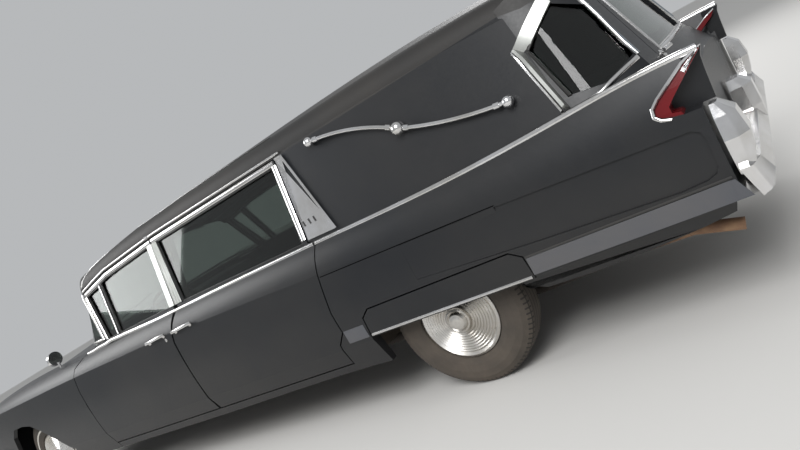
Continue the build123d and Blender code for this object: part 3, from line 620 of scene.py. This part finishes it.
def chosen(mesh):
    """The numbers of the corners that are selected in the open piece."""
    bpy.ops.object.mode_set(mode="OBJECT")
    numbers = [v.index for v in mesh.vertices if v.select]
    bpy.ops.object.mode_set(mode="EDIT")
    return numbers


def move_corners(mesh, numbers, targets):
    """Moves corners of the open piece to their places, one at a time."""
    bpy.ops.mesh.select_mode(type="VERT")
    for number, target in zip(numbers, targets):
        bpy.ops.mesh.select_all(action="DESELECT")
        bpy.ops.object.mode_set(mode="OBJECT")
        mesh.vertices[number].select = True
        move = target - mesh.vertices[number].co
        bpy.ops.object.mode_set(mode="EDIT")
        bpy.ops.transform.translate(value=move)


# %% A plate with a straight-edged outline
def plate(points, thick, facing):
    """Adds a plate to the open piece, with its outline on the given points."""
    points = [Vector(p) for p in points]
    middle = sum(points, Vector()) / len(points)
    across = (points[1] - points[0]).normalized()
    facing = (facing - across * facing.dot(across)).normalized()
    if sum((a - middle).cross(b - middle).dot(facing) for a, b in loop(points)) < 0:
        points.reverse()
    disc(middle, Matrix((across, facing.cross(across), facing)).transposed(), START_SIZE, len(points))
    mesh = bpy.context.object.data
    ring = chosen(mesh)
    move_corners(mesh, ring, points)
    bpy.ops.mesh.select_all(action="DESELECT")
    bpy.ops.object.mode_set(mode="OBJECT")
    for number in ring:
        mesh.vertices[number].select = True
    bpy.ops.object.mode_set(mode="EDIT")
    bpy.ops.mesh.select_mode(type="FACE")
    bpy.ops.mesh.extrude_region_move(TRANSFORM_OT_translate={"value": facing * thick})
    bpy.ops.mesh.select_mode(type="VERT")


def cover(name, hit, thick, finish=CHROME):
    """A plate on each side of the body, on the points and the facing of a cast."""
    piece = begin(name)
    outline, facing = hit
    plate(outline, thick, facing)
    settle(piece, finish, ON_BODY)


# %% A turned part
def button(middle, facing, rows, corners=20):
    """Adds a turned part to the open piece. Columns of rows: height above the skin, radius."""
    own = axes(facing, facing.orthogonal())
    disc(middle + facing * rows[0][0], own, rows[0][1], corners)
    for (low, wide), (high, narrow) in zip(rows, rows[1:]):
        bpy.ops.mesh.extrude_region_move(TRANSFORM_OT_translate={"value": facing * (high - low)})
        scale = narrow / wide
        bpy.ops.transform.resize(value=(scale, scale, scale), center_override=middle + facing * high)


# %% [markdown]
# ## Belt moulding
# A bright moulding runs along the top of the doors and the rear quarter to the fin's tip. It could be one
# long strip, but it is one for each panel, so that it parts where the doors open. A ray from above finds
# the shoulder under it.

# %% Belt moulding
SHOULDER = Vector((0, 0.5, 0.85))
BELTS = [
    # name, skin, holders, what is added at each end, marks
    ("belt_front_door", FRONT_DOOR, ON_FRONT_DOORS, (0.0, 0.025), [(1.095, 0.880), (0.048, 0.889)]),
    ("belt_rear_door", REAR_DOOR, ON_REAR_DOORS, (0.022, 0.040), [(-0.008, 0.889), (-1.155, 0.893)]),
    (
        "belt_quarter", SIDES, ON_BODY, (0.034, 0.0),
        [(-1.240, 0.893), (-1.80, 0.900), (-2.30, 0.908), (-2.80, 0.914), (-3.112, 0.918)],
    ),
]
for name, skin, holders, more, marks in BELTS:
    run, _ = on_plan(skin, between(marks, 0.08))
    moulding(name, [(stretched(run, *more), SHOULDER)], wide=0.028, thick=0.032, holders=holders)

# %% [markdown]
# ## Roof rail and roof strip
# The rail above the doors is the upper one of two bright strips and stays on the roof. The lower one tops
# the door frames and opens with them. A sleeve covers the rail's joint. Higher up, a thin strip ends the
# roof's dark side and meets the rail in front. They are rolled along marks from a side view, as the real
# ones are bent along the roof.

# %% Roof rail and roof strip
RAIL = [(0.930, 1.384), (0.900, 1.392), (0.760, 1.418), (0.620, 1.440), (0.250, 1.458), (0.0, 1.468)]
RAIL += [(-1.172, 1.473)]
rail, rail_facing = on_side(ROOFING, between(RAIL, 0.12))
moulding("roof_rail", [(rail, rail_facing)], wide=0.015, thick=0.016)
sleeve, _ = on_side(ROOFING, [(0.092, 1.466), (0.066, 1.467)])
moulding("roof_rail_sleeve", [(sleeve, rail_facing)], wide=0.022, thick=0.024, corners=8)
UPPER = [(0.930, 1.412), (0.905, 1.446), (0.868, 1.470), (0.800, 1.495), (0.715, 1.515), (0.506, 1.543)]
UPPER += [(0.276, 1.560), (-0.30, 1.566), (-1.112, 1.566)]
moulding("roof_strip", [on_side(ROOFING, UPPER)], wide=0.011, thick=0.010)

# %% Tops of the door frames
REAR_TOP_START = 0.046  # the rear door's strip starts over the gap between the doors
FRONT_TOP = [(0.908, 1.357), (0.760, 1.381), (0.620, 1.405), (0.400, 1.415), (0.092, 1.430)]
REAR_TOP = [(0.010, 1.433), (-0.5, 1.436), (-1.114, 1.439)]
run, facing = on_side(FRONT_DOOR, between(FRONT_TOP, 0.12), lift=0.002)
top = [(stretched(run, 0, 0.030), facing)]
moulding("frame_top_front", top, wide=0.024, thick=0.010, holders=ON_FRONT_DOORS, corners=6)
run, facing = on_side(REAR_DOOR, between(REAR_TOP, 0.12), lift=0.002)
top = [(stretched(run, REAR_TOP_START - run[0].x, 0), facing)]
moulding("frame_top_rear", top, wide=0.024, thick=0.010, holders=ON_REAR_DOORS, corners=6)

# %% [markdown]
# ## Door posts
# Where the front and rear doors meet, each carries a satin post cover with two flutes, so it is made of
# three rounded strips side by side. The divider of the front quarter light and the windscreen post get one
# strip each.


# %% Fluted covers on the door posts
def at_width(skin, probe, marks):
    """Points at (x, z) marks, with the skin's depth read at probe x, where the door is sure to be."""
    depths = [skin.ray_cast(Vector((p, BESIDE, z)), SIDE)[0].y for p, (_, z) in zip(probe, marks)]
    return [Vector((x, y, z)) for y, (x, z) in zip(depths, marks)]


POSTS = [
    # name, skin, holders, solid x at bottom and top, front edge and rear edge at bottom and top
    ("post_front_door", FRONT_DOOR, ON_FRONT_DOORS, (0.060, 0.095), (0.077, 0.106), (0.027, 0.061)),
    ("post_rear_door", REAR_DOOR, ON_REAR_DOORS, (-0.040, 0.014), (0.019, 0.053), (-0.055, 0.009)),
]
POST_ENDS = (1.026, 1.416)
POST_FACING = Vector((0, 1, 0.3))
RIBS = (1 / 6, 1 / 2, 5 / 6)  # where the middle of each strip lies across the post
for name, skin, holders, probe, front, back in POSTS:
    wide = (front[0] - back[0] + front[1] - back[1]) / 2 / len(RIBS)
    hits = []
    for share in RIBS:
        marks = [(front[i] + (back[i] - front[i]) * share, POST_ENDS[i]) for i in (0, 1)]
        hits.append((at_width(skin, probe, marks), POST_FACING))
    moulding(name, hits, wide, thick=0.014, holders=holders, finish=SATIN, corners=8)

# %% Windscreen posts and quarter light
hit = on_side(SCUTTLE, [(0.8635, 1.030), (0.912, 1.200), (0.952, 1.340), (0.961, 1.368)])
moulding("screen_post", [hit], wide=0.024, thick=0.014)
hit = on_side(FRONT_DOOR, [(0.8235, 1.026), (0.877, 1.200), (0.921, 1.338)])
moulding("front_door_edge", [hit], wide=0.024, thick=0.012, holders=ON_FRONT_DOORS)
hit = on_side(FRONT_DOOR, [(0.679, 1.026), (0.7295, 1.364)])
moulding("quarter_light_divider", [hit], wide=0.012, thick=0.012, holders=ON_FRONT_DOORS)
hit = on_side(REAR_DOOR, [(-1.133, 1.020), (-1.110, 1.425)], lift=0.003)
moulding("rear_door_edge", [hit], wide=0.028, thick=0.012, holders=ON_REAR_DOORS, corners=6)

# %% Rubber round the side windows
PANE_Y, PANE_Z, PANE_LEAN, SUNK = 0.8755, 1.03, 0.2885, 0.010
PANE_FACING = Vector((0, 1, 0.29))
SEALS = [
    ("seal_vent", ON_FRONT_DOORS, [(0.697, 1.0235), (0.799, 1.0235), (0.906, 1.3385), (0.748, 1.3605)]),
    (
        "seal_front", ON_FRONT_DOORS,
        [(0.656, 1.0235), (0.081, 1.0235), (0.1085, 1.4105), (0.620, 1.3855), (0.712, 1.3705)],
    ),
    ("seal_rear", ON_REAR_DOORS, [(-0.061, 1.0235), (-1.112, 1.0035), (-1.0895, 1.4185), (0.005, 1.4125)]),
]
for name, holders, marks in SEALS:
    ring = [Vector((x, PANE_Y - (z - PANE_Z) * PANE_LEAN - SUNK, z)) for x, z in marks]
    hits = [(ends, PANE_FACING) for ends in loop(ring)]
    moulding(name, hits, wide=0.009, thick=0.014, holders=holders, finish=GRIP_AND_GROOVE_SHADE, corners=6)

# %% [markdown]
# ## Bright plate behind the rear door
# The wedge between the rear window and the side panel is one polished plate with three short louvres. It
# has a folded edge along its top and its rear side. Louvres could be cut with a boolean, but dark strips
# this short, a painted shade for the slots, look the same and leave the plate's faces clean.

# %% Bright wedge plate
WEDGE = [(-1.139, 1.452), (-1.186, 1.455), (-1.366, 1.004), (-1.170, 1.010)]
cover("wedge_plate", on_side(SIDES, WEDGE, lift=0.004), thick=0.006)
FOLDS = ([(-1.182, 1.452), (-1.362, 1.004)], [(-1.139, 1.449), (-1.188, 1.450)])
hits = [on_side(SIDES, marks, lift=0.010) for marks in FOLDS]
moulding("wedge_fold", hits, wide=0.013, thick=0.010, corners=6)
# The louvres are dark strips of painted shade for the slots.
LOUVRES = (-1.181, -1.221, -1.257)
hits = [on_side(SIDES, [(x - 0.004, 1.078), (x + 0.004, 1.104)], lift=0.011) for x in LOUVRES]
moulding("wedge_louvres", hits, wide=0.009, thick=0.005, finish=GRIP_AND_GROOVE_SHADE, corners=6)

# %% [markdown]
# ## Quarter window and tail window frames
# The quarter window has a broad satin frame in the shape of an arrowhead in front and black rubber inside
# it. A pale post parts it from the tail window, and a thin moulding under it runs into the belt moulding.
# The tail door has a thin frame round its window and a handle, and a rubber strip on the roof closes the
# slot above the door. A flat strip that bends once gives the arrowhead with its mitre, without an outline
# to draw.

# %% Arrowhead frame
hit = on_side(SIDES, between([(-2.690, 1.420), (-2.535, 1.290), (-2.628, 1.012)], 0.05), lift=0.006)
moulding("quarter_frame", [hit], wide=0.058, thick=0.014, finish=SATIN, corners=4, smooth=20)
hit = on_side(SIDES, between([(-2.672, 1.430), (-2.506, 1.300), (-2.602, 1.012)], 0.05), lift=0.008)
moulding("quarter_frame_fold", [hit], wide=0.009, thick=0.009, corners=6)
hit = on_side(SIDES, [(-2.700, 1.408), (-2.566, 1.280), (-2.651, 1.050)])
moulding("quarter_rubber", [hit], wide=0.014, thick=0.018, finish=GRIP_AND_GROOVE_SHADE, corners=8)

# %% Rear post and lower moulding
POST = [(0.728, 1.068), (0.712, 1.130), (0.694, 1.200), (0.660, 1.270), (0.640, 1.335), (0.622, 1.400)]
moulding("rear_post", [on_rear(SIDES, POST)], wide=0.034, thick=0.010, finish=PALE, corners=6)
POST_EDGE = [(0.740, 1.066), (0.728, 1.130), (0.708, 1.200), (0.674, 1.270), (0.655, 1.335), (0.640, 1.395)]
moulding("rear_post_edge", [on_rear(SIDES, POST_EDGE)], wide=0.009, thick=0.014, corners=8)
SILL = [(-2.908, 0.752, 1.058), (-2.862, 0.786, 1.046), (-2.800, 0.834, 1.027), (-2.756, 0.860, 1.010)]
SILL += [(-2.706, 0.877, 1.002), (-2.655, 0.890, 1.000)]
SILL_FACING = Vector((-0.35, 0.80, 0.50))
moulding("quarter_sill", [(SILL, SILL_FACING)], wide=0.020, thick=0.016)

# %% Tail window frame, handle and header rubber
FRAME = [(0.484, 1.026), (0.424, 1.394), (-0.424, 1.394), (-0.484, 1.026)]
hits = [on_rear(TAIL, between(ends, 0.12)) for ends in loop(FRAME)]
moulding("tail_frame", hits, wide=0.016, thick=0.012, holders=("tail_door",), corners=8)

STEM = [(-0.002, 0.022), (0.004, 0.022), (0.008, 0.016), (0.010, 0.009), (0.030, 0.008)]
GRIP_WAY, GRIP_HEIGHT = Vector((0.163, 0.986, 0)), 0.032
GRIP_STEPS = (-0.052, -0.018, 0.018, 0.050)
piece = begin("tail_handle")
(base, _), facing = on_plan(TAIL, [(-2.956, 0.528), (-2.975, 0.528)])
button(base, facing, STEM)
bar = [base + facing * GRIP_HEIGHT + GRIP_WAY * step for step in GRIP_STEPS]
strip(bar, wide=0.016, thick=0.012, facing=facing)
settle(piece, CHROME, ("tail_door",))

HEADER_Z, HEADER_DROP = 1.462, Vector((0, 0, -0.016))
edge, facing = on_rear(ROOFING, [(y, HEADER_Z) for y in (-0.52, -0.35, -0.18, 0, 0.18, 0.35, 0.52)])
rubber = ([p + HEADER_DROP for p in edge], facing)
moulding(
    "tail_header", [rubber], wide=0.016, thick=0.014, holders=("body",), finish=GRIP_AND_GROOVE_SHADE,
    corners=6,
)

# %% [markdown]
# ## Door handles
# Each handle is a bar that stands off the door on two feet, close to the edge that opens. The front door
# has a lock under its handle. The real ones are cast in one piece, but a rolled bar and two turned feet
# look the same.

# %% Door handles
HANDLES = [
    # name, skin, holders, front end and rear end
    ("handle_front", FRONT_DOOR, ON_FRONT_DOORS, (0.316, 0.894), (0.112, 0.900)),
    ("handle_rear", REAR_DOOR, ON_REAR_DOORS, (0.036, 0.892), (-0.160, 0.898)),
]
END_LIFT, BAR_LIFT, END_LENGTH = 0.016, 0.026, 0.020
FIRST_FOOT, LAST_FOOT = 0.022, 0.030  # how far the feet stand from the bar's ends
FOOT = [(-0.003, 0.016), (0.004, 0.015), (0.012, 0.009), (0.024, 0.009)]
for name, skin, holders, fore, aft in HANDLES:
    piece = begin(name)
    (first, last), facing = on_side(skin, [fore, aft])
    along = (last - first).normalized()
    bar = [first + facing * END_LIFT, first + along * END_LENGTH + facing * BAR_LIFT]
    bar += [last - along * END_LENGTH + facing * BAR_LIFT, last + facing * END_LIFT]
    strip(bar, wide=0.019, thick=0.011, facing=facing, corners=12)
    for middle in (first + along * FIRST_FOOT, last - along * LAST_FOOT):
        button(middle, facing, FOOT, corners=12)
    settle(piece, CHROME, holders)

piece = begin("lock_front")
(middle,), facing = on_side(FRONT_DOOR, [(0.128, 0.868)])
button(middle, facing, [(-0.002, 0.011), (0.004, 0.011), (0.006, 0.008), (0.005, 0.003)], corners=16)
settle(piece, CHROME, ON_FRONT_DOORS)

# %% [markdown]
# ## Lower bands and skirt strip
# A flat grey band closes the foot of the rear quarter and starts again in front of the wheel skirt, with a
# dark groove along its top, drawn as a strip of painted shade. It could be a plate, but a strip with four
# corners, set upright, follows the curved side. It ends in a slanted plate at the bumper. The skirt has a
# thin bright strip along its lower edge.

# %% Lower bands
BANDS = [
    # name, height of its middle, how tall it is, stations along the car
    ("band_rear", 0.512, 0.078, [-2.222, -2.45, -2.70, -2.90, -3.035]),
    ("band_front", 0.497, 0.070, [-1.150, -1.285]),
]
UPRIGHT = Vector((0, 0, 1))
END_PROUD = 0.002
BAND_END = [(-3.034, 0.474), (-3.034, 0.550), (-3.050, 0.550), (-3.084, 0.474)]
for name, height, tall, stations in BANDS:
    piece = begin(name)
    run, _ = on_side(SIDES, [(x, height) for x in stations])
    strip(run, wide=0.006, thick=tall, facing=UPRIGHT, corners=4)
    if name == "band_rear":
        plate([(x, run[-1].y + END_PROUD, z) for x, z in BAND_END], thick=0.003, facing=-SIDE)
    settle(piece, BAND, ON_BODY)

# %% Groove and skirt strip
# The groove is a dark strip of painted shade.
hit = on_side(SIDES, between([(-2.222, 0.556), (-3.044, 0.560)], 0.15))
moulding("band_groove", [hit], wide=0.009, thick=0.006, finish=GRIP_AND_GROOVE_SHADE, corners=6)
hit = on_side(SKIRT, between([(-1.304, 0.466), (-2.208, 0.466)], 0.15))
moulding("skirt_strip", [hit], wide=0.014, thick=0.012)

# %% [markdown]
# ## Tail lamp edging
# The blade-shaped lens in the fin has a thin bright edge along its front and under its foot. The fin's tip
# above it is a bright cap with two grooves, drawn as dark strips of painted shade. The lens wraps round the
# fin, so a thin plate of the same red lies on the fin's inner face with a bright edge of its own. Plates do
# for both, because the fin's faces are flat there.

# %% Tail lamp edging
LENS = skin_of("tail_lamps")
BLADE = [(-3.100, 1.001), (-3.050, 0.982), (-2.934, 0.908), (-2.906, 0.884), (-2.902, 0.854), (-2.922, 0.835)]
BLADE += [(-2.956, 0.825)]
moulding("lamp_edge", [on_side(SIDES, BLADE)], wide=0.011, thick=0.012, corners=8)
CAP = [(-3.112, 1.000), (-3.058, 0.973), (-3.040, 0.961), (-3.050, 0.950), (-3.064, 0.961)]
cover("lamp_cap", on_side(LENS, CAP), thick=0.004)
# The cap's grooves are dark strips of painted shade.
GROOVES = ([(-3.104, 0.9955), (-3.052, 0.9645)], [(-3.100, 0.9905), (-3.058, 0.9605)])
hits = [on_side(LENS, marks, lift=0.004) for marks in GROOVES]
moulding("lamp_cap_grooves", hits, wide=0.0025, thick=0.002, finish=GRIP_AND_GROOVE_SHADE, corners=6)

# %% Inner face of the lamp
BETWEEN_FINS = 0.70
INNER = [(-3.098, 0.994), (-3.045, 0.972), (-2.965, 0.927), (-2.944, 0.912), (-2.950, 0.903), (-2.985, 0.908)]
INNER += [(-3.060, 0.945), (-3.098, 0.976)]
marks = [(x, BETWEEN_FINS, z) for x, z in INNER]
cover("lamp_inner", cast(SIDES, marks, -SIDE), thick=0.005, finish=RED)
moulding("lamp_inner_edge", [cast(SIDES, marks[:4], -SIDE, lift=0.003)], wide=0.009, thick=0.010, corners=8)

# %% [markdown]
# ## Front end of the sunk panel
# The long sunk panel on the flank has no front edge: it comes up to the skin little by little above the
# skirt. A thin curved sheet does that, laid on a grid of points that lie between the panel's floor and the
# skin around it.


# %% A sheet through rows of points
def sheet(rows, thick):
    """Adds a curved sheet to the open piece. Every row has as many points."""
    bpy.ops.mesh.select_all(action="DESELECT")
    bpy.ops.mesh.primitive_grid_add(
        x_subdivisions=len(rows[0]) - 1, y_subdivisions=len(rows) - 1, size=START_SIZE
    )
    mesh = bpy.context.object.data
    laid = sorted(chosen(mesh), key=lambda i: (round(mesh.vertices[i].co.y, 5), mesh.vertices[i].co.x))
    move_corners(mesh, laid, [Vector(p) for row in rows for p in row])
    bpy.ops.mesh.select_all(action="SELECT")
    bpy.ops.mesh.extrude_region_move(TRANSFORM_OT_translate={"value": (0, thick, 0)})


# %% Fade out the sunk panel
# Columns: station, and how far the sheet has come up from the panel's floor to the skin
STATIONS = ((-1.7004, 1.0), (-1.80, 0.86), (-1.92, 0.60), (-2.05, 0.28), (-2.20, -0.3))
PANEL_START, FLOOR_START, SKIN_AT = -1.7, -1.706, -1.690
TOP_Z, TOP_FALL, TOP_RUN = 0.8145, 0.008, 0.324  # the panel's top edge falls by TOP_FALL over TOP_RUN
FOOT_Z, FOOT_FALL, FOOT_RUN = 0.6410, 0.040, 0.6
ACROSS = 6
piece = begin("panel_fade")
rows = []
for x, fill in STATIONS:
    top = TOP_Z - TOP_FALL * (PANEL_START - x) / TOP_RUN
    foot = FOOT_Z - FOOT_FALL * (PANEL_START - x) / FOOT_RUN
    row = []
    for i in range(ACROSS + 1):
        z = foot + (top - foot) * i / ACROSS
        (bed,), _ = on_side(SIDES, [(min(x, FLOOR_START), z)])
        (skin,), _ = on_side(SIDES, [(SKIN_AT, z)])
        row.append((x, bed.y + (skin.y - bed.y) * fill, z))
    rows.append(row)
sheet(rows, thick=-0.0012)
settle(piece, BLACK, ON_BODY, smooth=50)

# %% [markdown]
# ## Panel behind the rear wheel
# Under the grey band the body turns inwards to a dark panel that hides the frame and the fuel tank from the
# side. Its lower edge rises towards the tail, and only the end of the tailpipe shows behind it. It is one
# leaning plate.

# %% Panel under the rear quarter
PANEL_Y, PANEL_TOP, PANEL_LEAN = 0.950, 0.470, 0.8
PANEL = [(-2.120, 0.486), (-3.030, 0.486), (-3.000, 0.412), (-2.870, 0.388), (-2.640, 0.366), (-2.400, 0.354)]
PANEL += [(-2.190, 0.358), (-2.125, 0.380), (-2.108, 0.420)]
leaning = [(x, PANEL_Y - (PANEL_TOP - z) * PANEL_LEAN, z) for x, z in PANEL]
facing = Vector((0, 1, -PANEL_LEAN)).normalized()
cover("rear_valance", (leaning, facing), thick=-0.006, finish=BLACK)

# %% [markdown]
# ## Crease along the flank
# A fine crease runs from the rear door to the top edge of the sunk panel. In the photograph only its shadow
# shows, so a very thin strip with a dull, near-black finish draws it. A cut this fine would be lost in the
# CAD mesh.

# %% Flank crease
CREASE = [(-1.192, 0.831), (-1.690, 0.819), (-2.205, 0.8055)]
hit = on_side(SIDES, between(CREASE, 0.1))
moulding("side_crease", [hit], wide=0.004, thick=0.003, finish=SHADE, corners=6)

# %% [markdown]
# ## Front end and windscreen
# The photograph shows little of the front, so it follows other cars of the kind: a bright ring round each
# of four lamps, a bright frame round the grille, mouldings round the windscreen and two wipers that rest on
# the glass. All are strips laid on the panels by rays from the front. A torus would stand off where the
# front leans back.

# %% Lamp rings and grille frame
FACE = skin_of("fenders", "cowl", "hood")
LAMPS = {"lamp_ring_inner": 0.575, "lamp_ring_outer": 0.765}
LAMP_Z, LAMP_RADIUS, LAMP_STEPS = 0.742, 0.095, 32
for name, y in LAMPS.items():
    turns = [2 * pi * i / LAMP_STEPS for i in range(LAMP_STEPS + 1)]
    marks = [(y + LAMP_RADIUS * cos(a), LAMP_Z + LAMP_RADIUS * sin(a)) for a in turns]
    moulding(name, [on_front(FACE, marks)], wide=0.014, thick=0.018, corners=8)
BORDER = [(-0.482, 0.575), (-0.482, 0.811), (0.482, 0.811), (0.482, 0.575)]
hits = [on_front(FACE, between(ends, 0.16)) for ends in loop(BORDER)]
hits = [hit for hit in hits if len(hit[0]) > 1]
moulding("grille_frame", hits, wide=0.018, thick=0.018, holders=("body",), corners=8)

# %% Windscreen mouldings and wipers
GLAZING = skin_of("windshield")
side, facing = on_side(GLAZING, [(0.890, 1.036), (0.980, 1.038), (1.060, 1.040)])
nose, _ = on_front(GLAZING, [(y, 1.048) for y in (0.74, 0.62, 0.48, 0.32, 0.16, 0.0)])
moulding("screen_sill", [(side + nose, facing)], wide=0.020, thick=0.014)
EDGE = [(0.0, 1.443), (0.16, 1.441), (0.32, 1.434), (0.46, 1.422), (0.56, 1.406)]
moulding("screen_header", [on_front(GLAZING, EDGE)], wide=0.016, thick=0.012)
piece = begin("wiper")
arm, facing = on_front(GLAZING, [(0.36, 1.062), (0.26, 1.085), (0.17, 1.105)], lift=0.016)
strip(arm, wide=0.008, thick=0.006, facing=facing, corners=6)
blade, facing = on_front(GLAZING, [(0.35, 1.078), (0.18, 1.105), (0.02, 1.128)], lift=0.007)
strip(blade, wide=0.010, thick=0.010, facing=facing, corners=6)
settle(piece, GRIP_AND_GROOVE_SHADE, ON_BODY)

# %% [markdown]
# ## Inside
# Through the side glass the photograph shows a bench seat and the steering wheel. The seat is two foam
# blocks under hide: each is a bevelled block, remeshed evenly and blown up a little by the cloth
# simulation, and the sewn channels are pressed in afterwards. Dials, knobs and the rails on the load deck
# are small turned and rolled parts.


# %% Cloth blown up by pressure
PRESSURE, FRAMES = 4, 20


def blow_up(piece, cap):
    """Runs the cloth simulation on a block. cap limits how far each corner moves."""
    before = [v.co.copy() for v in piece.data.vertices]
    cloth = piece.modifiers.new("stuffing", "CLOTH")
    cloth.settings.use_pressure = True
    cloth.settings.uniform_pressure_force = PRESSURE
    cloth.settings.effector_weights.gravity = 0
    for step in range(1, FRAMES + 1):
        bpy.context.scene.frame_set(step)
    bpy.ops.object.modifier_apply(modifier="stuffing")
    for v, old in zip(piece.data.vertices, before):
        move = v.co - old
        v.co = old + move * min(1, cap / max(move.length, 1e-6))
    bpy.context.scene.frame_set(1)


# %% Sewn channels
CHANNEL_DEPTH, CHANNEL_WIDTH = 0.009, 0.016


def press_channels(piece, pleat):
    """Presses channels into a cushion, one every pleat across the car."""
    facings = [v.normal.copy() for v in piece.data.vertices]
    for v, facing in zip(piece.data.vertices, facings):
        off = abs((v.co.y + pleat / 2) % pleat - pleat / 2)
        v.co -= facing * CHANNEL_DEPTH * max(0.0, 1 - off / CHANNEL_WIDTH)


# %% The seat
EDGE_RADIUS, EDGE_STEPS, VOXEL = 0.045, 3, 0.018


def stuffed(name, low, high, cap, pleat):
    """A padded cushion that fills the box between two corners."""
    piece = begin(name)
    size, middle = Vector(high) - Vector(low), (Vector(high) + Vector(low)) / 2
    bpy.ops.mesh.primitive_cube_add(size=1, location=middle)
    bpy.ops.transform.resize(value=size, center_override=middle)
    bpy.ops.mesh.bevel(offset=EDGE_RADIUS, segments=EDGE_STEPS, affect="EDGES")
    close(piece, smooth=60)
    piece.data.remesh_voxel_size = VOXEL
    bpy.ops.object.voxel_remesh()
    blow_up(piece, cap)
    rounded = piece.modifiers.new("rounded", "SUBSURF")
    rounded.levels = rounded.render_levels = 1
    bpy.ops.object.modifier_apply(modifier="rounded")
    press_channels(piece, pleat)
    bpy.ops.object.shade_smooth()
    piece.data.materials.append(HIDE)
    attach(piece, "body")
    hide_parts("front_seat")
    print(name, len(piece.data.vertices), "corners")


stuffed("seat_cushion", (-0.085, -0.678, 0.352), (0.398, 0.678, 0.578), cap=0.022, pleat=0.113)
stuffed("seat_back", (-0.216, -0.678, 0.420), (-0.122, 0.678, 0.938), cap=0.020, pleat=0.113)

# %% Dials and knobs
DASH = skin_of("dashboard")
CABIN_X = -1.0  # rays start in the cabin and look forward
DIAL = [(-0.004, 0.054), (0.010, 0.054), (0.014, 0.048), (0.006, 0.046)]
KNOB = [(-0.004, 0.015), (0.012, 0.013), (0.020, 0.009)]
ROWS = [
    # places across the car, height, profile, corners
    ((0.44, 0.30), 0.930, DIAL, 28),
    ((0.17, 0.11, -0.02, -0.08), 0.915, KNOB, 14),
]
piece = begin("dials")
for places, z, profile, corners in ROWS:
    for y in places:
        (middle,), facing = cast(DASH, [(CABIN_X, y, z)], REAR)
        button(middle, facing, profile, corners)
settle(piece, CHROME, ("body",))

# %% Deck rails
BOARD = skin_of("load_deck")
hits = [on_plan(BOARD, [(-1.30, y), (-2.05, y), (-2.80, y)]) for y in (0.14, 0.42)]
moulding("deck_rails", hits, wide=0.030, thick=0.010, finish=STEEL, corners=6)
